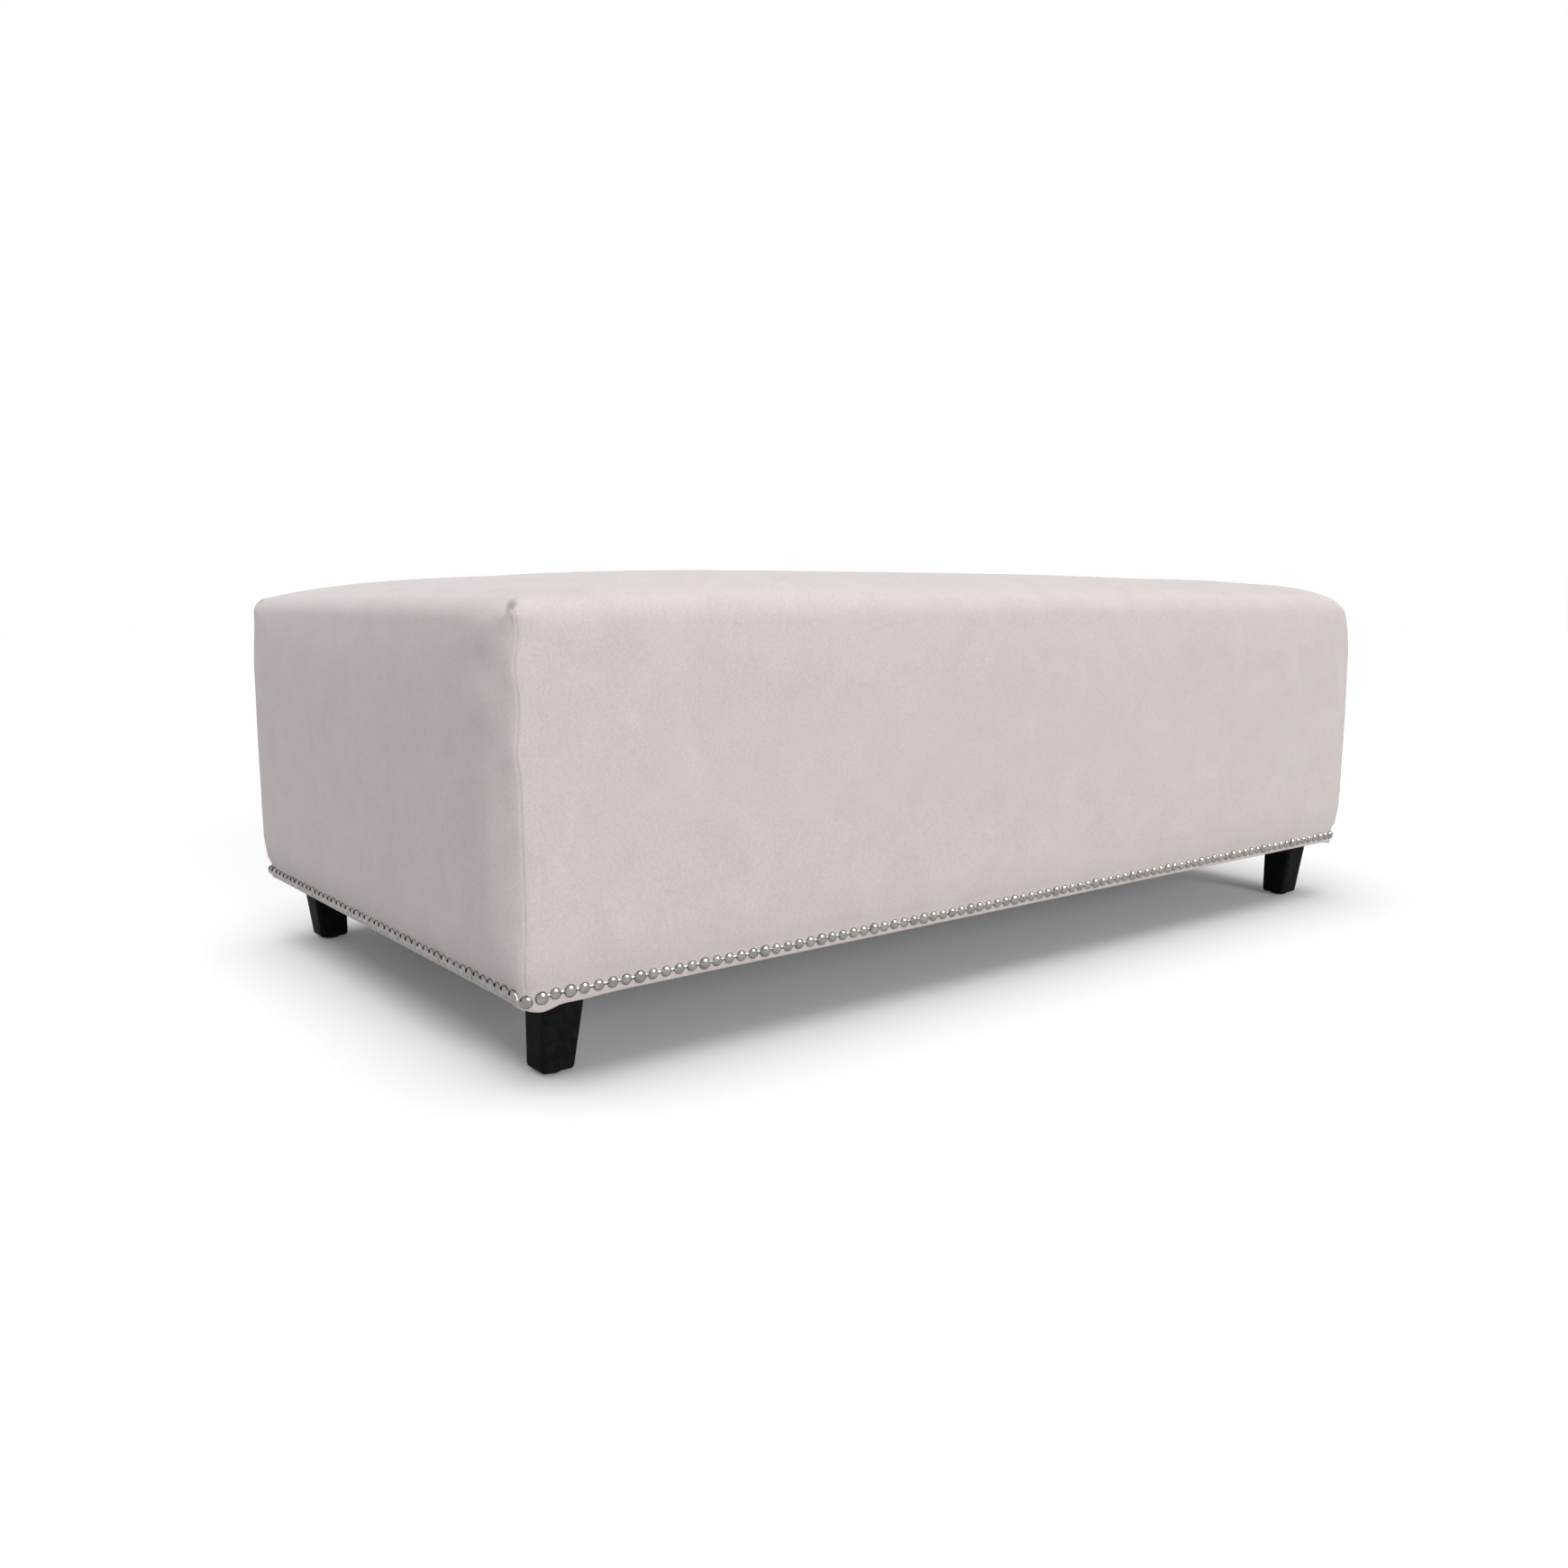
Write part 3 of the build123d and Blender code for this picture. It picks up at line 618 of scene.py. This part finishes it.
def rounded_box(inset, low, high, step, open_bottom=True, outer_radius=corner_radius):
    """A box of the cover's plan, drawn in by inset, with rounded upright corners and shoulder."""
    radius = outer_radius - inset
    middle = (high + low) / 2
    form = bmesh.new()
    bmesh.ops.create_cube(form, size=1)
    size = (2 * (half_length - inset), 2 * (half_depth - inset), high - low)
    bmesh.ops.scale(form, vec=size, verts=form.verts)
    bmesh.ops.translate(form, vec=(0, 0, middle), verts=form.verts)
    bottom = [f for f in form.faces if f.calc_center_median().z < middle and abs(f.normal.z) > 0.5]
    if open_bottom:
        bmesh.ops.delete(form, geom=bottom, context="FACES_ONLY")
    rounded = [e for e in form.edges if max(v.co.z for v in e.verts) > middle]
    bmesh.ops.bevel(
        form, geom=rounded, offset=radius, offset_type="OFFSET", segments=arc_steps, profile=0.5,
        affect="EDGES", material=-1
    )
    cut_evenly(form, 0, -half_length + outer_radius, half_length - outer_radius, step)
    cut_evenly(form, 1, -half_depth + outer_radius, half_depth - outer_radius, step)
    cut_evenly(form, 2, low, high - radius, step)
    return form


# %% [markdown]
# The padding swells the top into a crown, nearly level in the middle and falling off to the ends and
# sides. Each point of the box is lifted by it: fully on the top, less round the shoulder, and not at
# all below.

# %% Crown
def ramp(value, start, full):
    """0 up to start, 1 from full on, and straight between them."""
    return min(1, max(0, (value - start) / (full - start)))


def crown_lift(x, y):
    """How far the crown stands above the shoulder at a place of the top."""
    end = 1 - min(1, abs(x) / half_length) ** end_power
    side = 1 - min(1, abs(y) / half_depth) ** side_power
    return crown_height * end * side


def crowned_form(inset, low, step, open_bottom=True, outer_radius=corner_radius):
    """The rounded box with its crown, its top drawn in by inset as well."""
    high = cover_bottom + shoulder_height - inset
    form = rounded_box(inset, low, high, step, open_bottom, outer_radius)
    tangent = high - (outer_radius - inset)
    for vert in form.verts:
        vert.co.z += ramp(vert.co.z, tangent, high) * crown_lift(vert.co.x, vert.co.y)
    return form


print("crown stands", round(crown_lift(0, 0) * 1000, 1), "mm above the shoulder")

# %% [markdown]
# Foam pushes the cover out between the seams that hold it in. The cover starts a little smaller than
# the real one, held along its corner seams and its bottom edge, and Blender's cloth swells it with a
# gentle pressure. How far a point may move is capped, because foam stops cloth where plain air does not.

# %% Helpers for the cloth
held_group = "held"


def corner_offset(place):
    """How far past the flat stretches, along X and along Y: both positive in a rounded corner."""
    return (
        abs(place.x) - (half_length - corner_radius),
        abs(place.y) - (half_depth - corner_radius),
    )


def on_seam(place, tolerance):
    """True on the upright seam in the middle of a corner."""
    past_end, past_side = corner_offset(place)
    return past_end > 0 and past_side > 0 and abs(past_end - past_side) < tolerance


def swell(piece, pressure, frames, cap):
    """Blow the piece out with cloth pressure, but no point further than the cap."""
    cloth = piece.modifiers.new("cloth", "CLOTH")
    settings = cloth.settings
    settings.quality = 6
    settings.mass = 0.3
    settings.tension_stiffness = 40
    settings.compression_stiffness = 40
    settings.shear_stiffness = 20
    settings.bending_stiffness = 4
    settings.use_pressure = True
    settings.uniform_pressure_force = pressure
    settings.effector_weights.gravity = 0
    settings.vertex_group_mass = held_group
    cloth.collision_settings.use_collision = False
    for n in range(1, frames + 1):
        scene.frame_set(n)
    graph = bpy.context.evaluated_depsgraph_get()
    settled = [v.co.copy() for v in piece.evaluated_get(graph).data.vertices]
    piece.modifiers.remove(cloth)
    scene.frame_set(1)
    moved = 0
    for vert, place in zip(piece.data.vertices, settled):
        shift = place - vert.co
        moved = max(moved, shift.length)
        vert.co += shift.normalized() * cap * math.tanh(shift.length / cap)
    print("cloth moved at most", round(moved * 1000, 1), "mm before the cap")


# %% [markdown]
# The cover is blown out once, from the plain form to the one that the finer work starts from. A
# subdivision then smooths what the cloth gave.

# %% Swell the cover
start_inset = 0.0010
swell_cap = 0.0018
held_width = 0.001

start_form = crowned_form(start_inset, cover_bottom, grid_step)
cover = piece_from(start_form, "velvet_cover", velvet, "fabric_cover")
held = cover.vertex_groups.new(name=held_group)
for vert in cover.data.vertices:
    at_bottom = vert.co.z < cover_bottom + grid_step / 2
    if at_bottom or on_seam(vert.co, held_width):
        held.add([vert.index], 1.0, "REPLACE")
swell(cover, pressure=4, frames=20, cap=swell_cap)
smoother = cover.modifiers.new("smoother", "SUBSURF")
smoother.levels = smoother.render_levels = 1
bake_modifiers(cover)
print("cover has", len(cover.data.polygons), "faces after smoothing")

# %% [markdown]
# The padding is fuller than the frame behind it. Above the bead row, which draws the cloth in, every
# side stands a few millimetres out, with its corners, and it comes back a little at the shoulder. The
# list gives how far a side stands out at each height.

# %% Fullness of the sides
fullness = [
    (0.0885, 0),
    (0.103, 0.0044),
    (0.125, 0.0063),
    (0.160, 0.0069),
    (0.240, 0.0076),
    (0.320, 0.0073),
    (0.385, 0.0048),
]
edge_reach = 0.08


def soften(share):
    """The share with a soft start and a soft end."""
    return share * share * (3 - 2 * share)


def between(points, place):
    """The value at a place along a list of (place, value), eased from one to the next."""
    if place <= points[0][0]:
        return points[0][1]
    for (low, low_value), (high, high_value) in zip(points, points[1:]):
        if place < high:
            return low_value + (high_value - low_value) * soften(ramp(place, low, high))
    return points[-1][1]


def edge_share(distance):
    """1 at an outer face, 0 from edge_reach inside it."""
    return soften(ramp(distance, edge_reach, 0))


for vert in cover.data.vertices:
    place = vert.co
    out = between(fullness, place.z)
    place.x += math.copysign(out * edge_share(half_length - abs(place.x)), place.x)
    place.y += math.copysign(out * edge_share(half_depth - abs(place.y)), place.y)
print("sides stand out by at most", max(value for _, value in fullness) * 1000, "mm")

# %% [markdown]
# A plain sewn seam is a thin line where two panels meet and dip. Bevelling the line of edges gives it
# two close neighbours, and then the middle line is pushed in. It starts gently, above the bottom edge.

# %% Corner seams
seam_width = 0.0026
seam_depth = 0.0012
seam_below_shoulder = 0.009
seam_top = cover_bottom + shoulder_height - seam_below_shoulder
seam_overrun = 0.004
groove_start = 0.010
edge_tolerance = 0.0009
line_tolerance = 0.0003

form = read_form(cover)
seam_edges = [
    e for e in form.edges
    if all(on_seam(v.co, edge_tolerance) and v.co.z < seam_top + seam_overrun for v in e.verts)
]
bmesh.ops.bevel(
    form, geom=seam_edges, offset=seam_width / 2, offset_type="OFFSET", segments=2, profile=0.5,
    affect="EDGES", material=-1
)
form.normal_update()
for vert in form.verts:
    if on_seam(vert.co, line_tolerance) and vert.co.z < seam_top:
        vert.co -= vert.normal * seam_depth * ramp(vert.co.z, cover_bottom, cover_bottom + groove_start)
print("seams took", len(seam_edges), "edges and end at", round(seam_top, 4))

# %% [markdown]
# Each seam ends on the shoulder in a small pinch, where the dart of the top is closed: two dents with a
# swelling beside them. Each mark is a step along the face and one upwards from the seam's end, a reach
# and a depth. A mark above the end also moves inwards, because the shoulder does.

# %% Pinches at the seams' ends
pinch_marks = [
    (-0.0045, 0.0045, 0.0045, 0.0030),
    (0.0040, 0.0070, 0.0045, -0.0012),
    (-0.0040, -0.0080, 0.0030, 0.0020),
]
tuck_step = Vector((0.0038, -0.0038, 0.0034))
pinch_tolerance = 0.0005
fade_limit = 3


def fade(gap, reach):
    """1 on the spot, and next to nothing from fade_limit reaches on."""
    return math.exp(-(gap / reach) ** 2)


for x_way in (-1, 1):
    for y_way in (-1, 1):
        corner = [
            v.co for v in form.verts
            if v.co.x * x_way > 0 and v.co.y * y_way > 0 and on_seam(v.co, pinch_tolerance)
        ]
        spot = min(corner, key=lambda place: abs(place.z - seam_top)).copy()
        out = Vector((x_way, y_way, 0)).normalized()
        along = Vector((0, 0, 1)).cross(out)
        for sideways, upwards, reach, depth in pinch_marks:
            mark = spot + along * sideways + Vector((0, 0, upwards)) - out * max(0, upwards)
            for vert in form.verts:
                gap = (vert.co - mark).length
                if gap < fade_limit * reach:
                    vert.co -= vert.normal * depth * fade(gap, reach)
# The painted shade of the tucks is centred a small step from the seam's end.
tuck_spot = Vector((abs(spot.x), abs(spot.y), seam_top)) + tuck_step
tuck_place.inputs["Location"].default_value = tuck_spot
print("tucks are darkest at", [round(value, 4) for value in tuck_spot])

# %% [markdown]
# At the front left seam the left face turns softly into the corner, over a slight swelling, and more or
# less so from place to place. Two firm places, the bead row and the shoulder hold it.

# %% Ease at the front left seam
ease_depth = 0.0040
ease_reach = 0.040
ease_power = 1.4
bump_height = 0.0030
bump_from_front = 0.9 * ease_reach
bump_reach = 0.5 * ease_reach
firm_places = [(0.350, 0.014), (0.283, 0.016)]
firm_limit = 0.8
waver_share = 0.35
wavers_per_metre = 16
ease_starts, ease_full = 0.095, 0.135
ease_fades, ease_ends = 0.375, 0.405

eased = 0
for vert in form.verts:
    place = vert.co
    from_front = place.y + half_depth
    if place.x < -half_length + corner_radius and from_front < fade_limit * ease_reach:
        firm = sum(fade(place.z - height, reach) for height, reach in firm_places)
        waver = 1 + waver_share * noise.noise(Vector((0, 0, place.z * wavers_per_metre)))
        near = ramp(from_front, ease_reach, 0) ** ease_power
        bump = fade(from_front - bump_from_front, bump_reach)
        held_by = ramp(place.z, ease_starts, ease_full) * ramp(place.z, ease_ends, ease_fades)
        loose = waver * (1 - min(firm_limit, firm)) * held_by
        place.x += (ease_depth * near - bump_height * bump) * loose
        eased += 1
print("eased", eased, "points of the left face")

# %% [markdown]
# Padding gives way here and there. Small shallow dents lie near the front left corner, the front right
# corner of the top is soft, and the top is a little uneven. Each dent is a place, a direction, a reach
# and a depth.

# %% Dents
dents = [
    ((-0.507, -0.336, 0.346), (0, 1, 0), 0.020, 0.0018),
    ((-0.533, -0.336, 0.318), (0, 1, 0), 0.016, 0.0014),
    ((-0.533, -0.336, 0.282), (0, 1, 0), 0.022, 0.0014),
    ((-0.565, -0.336, 0.345), (0, 1, 0), 0.015, 0.0012),
    ((-0.614, -0.304, 0.300), (1, 0, 0), 0.016, 0.0012),
    ((0.612, -0.334, 0.404), (-0.5, 0.5, -1), 0.030, 0.0085),
    ((0.540, -0.290, 0.415), (0, 0, 1), 0.045, 0.0030),
    ((0.330, -0.150, 0.430), (0, 0, -1), 0.150, 0.0036),
    ((-0.470, 0.120, 0.425), (0, 0, -1), 0.120, 0.0028),
]
for spot, way, reach, depth in dents:
    push = Vector(way).normalized() * depth
    for vert in form.verts:
        gap = (vert.co - Vector(spot)).length
        if gap < fade_limit * reach:
            vert.co += push * fade(gap, reach)
print("dents:", len(dents))
form.to_mesh(cover.data)
skin = BVHTree.FromBMesh(form)
form.free()

# %% [markdown]
# At the bottom the cover turns under the frame. The open edge is extruded inwards in a few steps: a
# small round fold, then a flat return that the dust cover hides.

# %% Turned hem
hem_radius = 0.0025
return_width = 0.032
first_return = 0.008
fold_steps = 4
level_tolerance = 1e-4
merge_distance = 1e-5


def inward_move(place, distance):
    """The place drawn in by a distance in plan, towards the inside of the rounded plan."""
    past_end, past_side = corner_offset(place)
    x_way = math.copysign(1, place.x)
    y_way = math.copysign(1, place.y)
    if past_end > 0 and past_side > 0:
        out = Vector((x_way * past_end, y_way * past_side, 0))
        room = out.length
        return place - out.normalized() * min(distance, room)
    if past_side > past_end:
        return place - Vector((0, y_way * distance, 0))
    return place - Vector((x_way * distance, 0, 0))


form = read_form(cover)
rim = [e for e in form.edges if e.is_boundary]
for n in range(1, fold_steps + 3):
    made = bmesh.ops.extrude_edge_only(form, edges=rim)["geom"]
    rim = [g for g in made if isinstance(g, bmesh.types.BMEdge) and g.is_boundary]
    new_verts = [g for g in made if isinstance(g, bmesh.types.BMVert)]
    if n <= fold_steps:
        turn = math.radians(90) * n / fold_steps
        last = math.radians(90) * (n - 1) / fold_steps
        step_in = hem_radius * (math.cos(last) - math.cos(turn))
        step_down = hem_radius * (math.sin(turn) - math.sin(last))
    else:
        step_in = first_return if n == fold_steps + 1 else return_width - hem_radius - first_return
        step_down = 0
    for vert in new_verts:
        vert.co = inward_move(vert.co, step_in) - Vector((0, 0, step_down))
folded = [v for v in form.verts if v.co.z < cover_bottom + level_tolerance]
bmesh.ops.translate(form, vec=(0, 0, hem_radius), verts=folded)
bmesh.ops.remove_doubles(form, verts=form.verts, dist=merge_distance)
print("hem has", len(folded), "points")

# %% [markdown]
# At the corners the folded cloth is thick and hangs a few millimetres lower. Each drop is a place in
# plan, a reach and a depth, and it fades out above the hem. Then Solidify gives the cloth its thickness.

# %% Thick corners of the hem
drop_height = 0.010
fold_width = 0.007
cloth_thickness = 0.0013
corner_drops = [
    ((-0.603, -0.325), 0.014, 0.0030),
    ((-0.588, -0.332), 0.011, 0.0045),
    ((-0.556, -0.332), 0.022, 0.0015),
    ((0.603, -0.325), 0.016, 0.0040),
    ((0.603, 0.325), 0.016, 0.0030),
    ((-0.603, 0.325), 0.016, 0.0015),
]

for vert in form.verts:
    past = max(abs(vert.co.x) - half_length, abs(vert.co.y) - half_depth)
    share = ramp(vert.co.z, cover_bottom + drop_height, cover_bottom) * (past > -fold_width)
    for spot, reach, drop in corner_drops:
        gap = (vert.co.xy - Vector(spot)).length
        vert.co.z -= share * drop * fade(gap, reach)
form.to_mesh(cover.data)
form.free()
shell = cover.modifiers.new("thickness", "SOLIDIFY")
shell.thickness = cloth_thickness
shell.offset = -1
print("cover has", faces_of(cover), "faces")

# %% [markdown]
# The beads are pressed domes on a flat wire, sold by the metre. Every fifth is a real nail with a
# slightly larger head. One dome is made from half a sphere, and a nail gets its shank as well.

# %% Bead shapes
bead_pitch = 0.01333
bead_diameter = 0.0104
bead_height = 0.0040
nail_diameter = 0.0114
nail_height = 0.0043
shank_diameter = 0.0018
shank_length = 0.018


def dome_mesh(diameter, height, name, shank=False):
    """Half a sphere, flattened to a dome with a closed back, and a nail's shank behind it if asked."""
    form = bmesh.new()
    bmesh.ops.create_uvsphere(form, u_segments=14, v_segments=8, radius=1)
    cut = bmesh.ops.bisect_plane(
        form, geom=all_of(form), plane_co=(0, 0, 0), plane_no=(0, 0, -1), clear_outer=True
    )
    rim = [g for g in cut["geom_cut"] if isinstance(g, bmesh.types.BMEdge)]
    bmesh.ops.contextual_create(form, geom=rim)
    bmesh.ops.scale(form, vec=(diameter / 2, diameter / 2, height), verts=form.verts)
    if shank:
        bmesh.ops.create_cone(
            form, segments=8, cap_ends=True, radius1=shank_diameter / 8, radius2=shank_diameter / 2,
            depth=shank_length, matrix=Matrix.Translation((0, 0, -shank_length / 2))
        )
    mesh = bpy.data.meshes.new(name)
    form.to_mesh(mesh)
    form.free()
    return mesh


bead_mesh = dome_mesh(bead_diameter, bead_height, "bead")
nail_mesh = dome_mesh(nail_diameter, nail_height, "nail", shank=True)
print("a bead has", len(bead_mesh.polygons), "faces, a nail", len(nail_mesh.polygons))

# %% [markdown]
# Each bead rests on the cloth where a ray from outside meets it. A side's row is worked out from its
# middle, so both ends come out alike.

# %% Places of the beads
strip_low, strip_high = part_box("nailhead_strip_front")
bead_row = (strip_low.z + strip_high.z) / 2
side_turns = {"front": 0, "right": 90, "back": 180, "left": 270}
ray_length = 0.05
graph = bpy.context.evaluated_depsgraph_get()
cover_tree = BVHTree.FromObject(cover, graph)


def outward(degrees):
    """The level direction that is turned this far from the front."""
    turn = math.radians(degrees)
    return Vector((math.sin(turn), -math.cos(turn), 0))


def rest_on_cover(place, out):
    """Where a ray that comes in along -out meets the cover."""
    start = place + out * ray_length
    hit = cover_tree.ray_cast(start, -out)[0]
    return hit if hit is not None else place


def side_reach(side):
    """How far a side's face is from the middle."""
    return half_depth if side in ("front", "back") else half_length


def half_bead_count(side):
    """How many beads fit between a side's middle and its rounded corner."""
    across = half_length if side in ("front", "back") else half_depth
    return round((across - packed_radius) / bead_pitch)


def side_places(side):
    """Place and direction of every bead of a side, from one end to the other."""
    out = outward(side_turns[side])
    along = Vector((0, 0, 1)).cross(out)
    count = half_bead_count(side)
    row = []
    for n in range(-count, count):
        flat = out * side_reach(side) + along * (n + 0.5) * bead_pitch + Vector((0, 0, bead_row))
        row.append((n, rest_on_cover(flat, out), out))
    return row


print("beads on the front:", len(side_places("front")))

# %% [markdown]
# Copies of the two small meshes are set along the row, each a little out of true, because they are
# hammered in by hand. A flat wire links them.

# %% Copies and links
link_width = 0.0024
link_thickness = 0.0006
bead_tilt = 0.05
nail_tilt = 0.03
chance = random.Random(7)


def add_copy(form, mesh, place, out, tilt):
    """Add a copy of a small mesh, its top along out, tilted at random."""
    lean = Vector((chance.gauss(0, tilt), chance.gauss(0, tilt), chance.gauss(0, tilt)))
    turn = (out + lean).to_track_quat("Z", "Y").to_matrix().to_4x4()
    move = Matrix.Translation(place) @ turn
    mesh.transform(move)
    form.from_mesh(mesh)
    mesh.transform(move.inverted())


def add_link(form, one, other):
    """The flat wire between two places of the row."""
    way = other[1] - one[1]
    out = (one[2] + other[2]).normalized()
    made = bmesh.ops.create_cube(form, size=1)["verts"]
    up = way.normalized().cross(out)
    turn = Matrix((way.normalized(), up, out)).transposed().to_4x4()
    size = Matrix.Diagonal((way.length, link_width, link_thickness, 1))
    middle = (one[1] + other[1]) / 2 + out * link_thickness / 2
    bmesh.ops.transform(form, matrix=Matrix.Translation(middle) @ turn @ size, verts=made)


# %% [markdown]
# Each side gets two pieces: the strip of linked beads, and the heads of its real nails.

# %% Bead rows on the four sides
beads_per_nail = 5

for side in side_turns:
    row = side_places(side)
    strip = bmesh.new()
    nails = bmesh.new()
    for n, place, out in row:
        if n % beads_per_nail == beads_per_nail // 2:
            add_copy(nails, nail_mesh, place + out * link_thickness, out, nail_tilt)
        else:
            add_copy(strip, bead_mesh, place, out, bead_tilt)
    for one, other in zip(row, row[1:]):
        add_link(strip, one, other)
    piece_from(strip, f"bead_strip_{side}", nickel, f"nailhead_strip_{side}")
    piece_from(nails, f"strip_nail_heads_{side}", nickel, f"strip_nails_{side}")
print("beads set on four sides")

# %% [markdown]
# A strip can't bend round a corner, so single nails carry the row round it, three to a corner. At the
# near corner the row dips a little, as in the photograph.

# %% Bead row round the corners
corner_turn = 33
usual_dips = (0, 0.0010, 0)
corner_dips = {"left": (0.0010, 0.0045, 0.0018)}

corner_run = bmesh.new()
sides = list(side_turns)
for before, after in zip(sides, sides[1:] + sides[:1]):
    first = side_places(before)[-1]
    last = side_places(after)[0]
    middle = side_turns[before] + 45
    centre = Vector((
        math.copysign(half_length - packed_radius, outward(middle).x),
        math.copysign(half_depth - packed_radius, outward(middle).y),
        bead_row,
    ))
    run = [first]
    dips = corner_dips.get(before, usual_dips)
    for turn, dip in zip((-corner_turn, 0, corner_turn), dips):
        out = outward(middle + turn)
        place = rest_on_cover(centre + out * packed_radius - Vector((0, 0, dip)), out)
        run.append((0, place, out))
        add_copy(corner_run, nail_mesh, place + out * link_thickness, out, nail_tilt)
    run.append(last)
    for one, other in zip(run, run[1:]):
        add_link(corner_run, one, other)
piece_from(corner_run, "corner_nail_heads", nickel, "corner_nails")
print("corners have", len(sides), "runs of nails")

# %% [markdown]
# Under the cover lie the foam pad and, over it and the frame's boards, a layer of wadding. The foam is
# the same crowned box as the cover, but closed below and smaller. A wadding starts as an open box too,
# gets a copy of itself just under the cover's own face, and side walls between the two.

# %% Foam and top wadding
frame_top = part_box("foam_pad")[0].z
cover_layer = 0.0015
wadding_layer = 0.008
foam_gap = 0.0006
frame_gap = 0.0004
under_cover = 0.0023
layer_step = 0.012
layers = cover_layer + wadding_layer


def pad_out(form, depth):
    """Close the form into a pad: a copy of it, set this deep under the cover's face, and side walls."""
    bmesh.ops.recalc_face_normals(form, faces=form.faces)
    made = bmesh.ops.extrude_face_region(form, geom=all_of(form), use_keep_orig=True)["geom"]
    for vert in (g for g in made if isinstance(g, bmesh.types.BMVert)):
        spot, normal, _, _ = skin.find_nearest(vert.co)
        vert.co = spot - normal * depth
    bmesh.ops.recalc_face_normals(form, faces=form.faces)
    return form


foam_form = crowned_form(layers + foam_gap, frame_top, layer_step, False, packed_radius)
foam = piece_from(foam_form, "foam_block", foam_cells, "foam_pad")

top_form = pad_out(crowned_form(layers, frame_top + frame_gap, layer_step, True, packed_radius), under_cover)
top_wadding = piece_from(top_form, "top_wadding", wadding_fibre, "wadding_top")
print("foam has", faces_of(foam), "faces, the top wadding", faces_of(top_wadding))

# %% [markdown]
# Each side's wadding is the same box again, cut off at the top and on a mitre at both corners.

# %% Side waddings
top_gap = 1e-4

for side in side_turns:
    low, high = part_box(f"wadding_{side}")
    band = rounded_box(layers, low.z, high.z + packed_radius, layer_step, True, packed_radius)
    limits = [(Vector((0, 0, high.z - top_gap)), Vector((0, 0, 1)))]
    for turn in (-45, 45):
        corner = outward(side_turns[side] + turn)
        spot = Vector((
            math.copysign(half_length - packed_radius, corner.x),
            math.copysign(half_depth - packed_radius, corner.y),
            0,
        ))
        limits.append((spot, outward(side_turns[side] + turn + math.copysign(90, turn))))
    for spot, away in limits:
        bmesh.ops.bisect_plane(band, geom=all_of(band), plane_co=spot, plane_no=away, clear_outer=True)
    side_wadding = piece_from(
        pad_out(band, under_cover), f"side_wadding_{side}", wadding_fibre, f"wadding_{side}"
    )
    print("made", side_wadding.name)

# %% [markdown]
# The deck cloth is coarse jute, pulled flat over the springs to keep the foam out of them. A stretched
# sheet needs no simulation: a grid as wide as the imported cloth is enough.

# %% Deck cloth
deck_thickness = 0.0009
deck_step = 0.02


def cloth_grid(node, step):
    """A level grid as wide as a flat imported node, at its middle height."""
    low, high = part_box(node)
    size = high - low
    form = bmesh.new()
    bmesh.ops.create_grid(form, x_segments=round(size.x / step), y_segments=round(size.y / step), size=0.5)
    bmesh.ops.scale(form, vec=(size.x, size.y, 1), verts=form.verts)
    bmesh.ops.translate(form, vec=(low + high) / 2, verts=form.verts)
    return form, size


deck_form, deck_size = cloth_grid("deck_cloth", deck_step)
deck = piece_from(deck_form, "jute_deck_cloth", jute, "deck_cloth")
deck_layer = deck.modifiers.new("thickness", "SOLIDIFY")
deck_layer.thickness = deck_thickness
deck_layer.offset = 0
print("deck cloth is", [round(value, 3) for value in deck_size])

# %% [markdown]
# The dust cover is thin black cloth, stapled along its edges under the frame. Between the staples' lines
# it sags by a few millimetres, with a slight ripple.

# %% Dust cover
dust_thickness = 0.0005
dust_step = 0.015
sag = 0.004
ripple_height = 0.0015
ripples_per_metre = 9
ripple_slice = 0.3

dust_form, dust_size = cloth_grid("dust_cover", dust_step)
for vert in dust_form.verts:
    across = 1 - (2 * vert.co.x / dust_size.x) ** 2
    down = 1 - (2 * vert.co.y / dust_size.y) ** 2
    share = max(0, across) * max(0, down)
    flat = vert.co.xy * ripples_per_metre
    ripple = noise.noise(Vector((flat.x, flat.y, ripple_slice)))
    vert.co.z -= share * (sag + ripple_height * ripple)
dust = piece_from(dust_form, "black_dust_cover", dust_cloth, "dust_cover")
dust_layer = dust.modifiers.new("thickness", "SOLIDIFY")
dust_layer.thickness = dust_thickness
dust_layer.offset = 0
print("dust cover is", [round(value, 3) for value in dust_size])
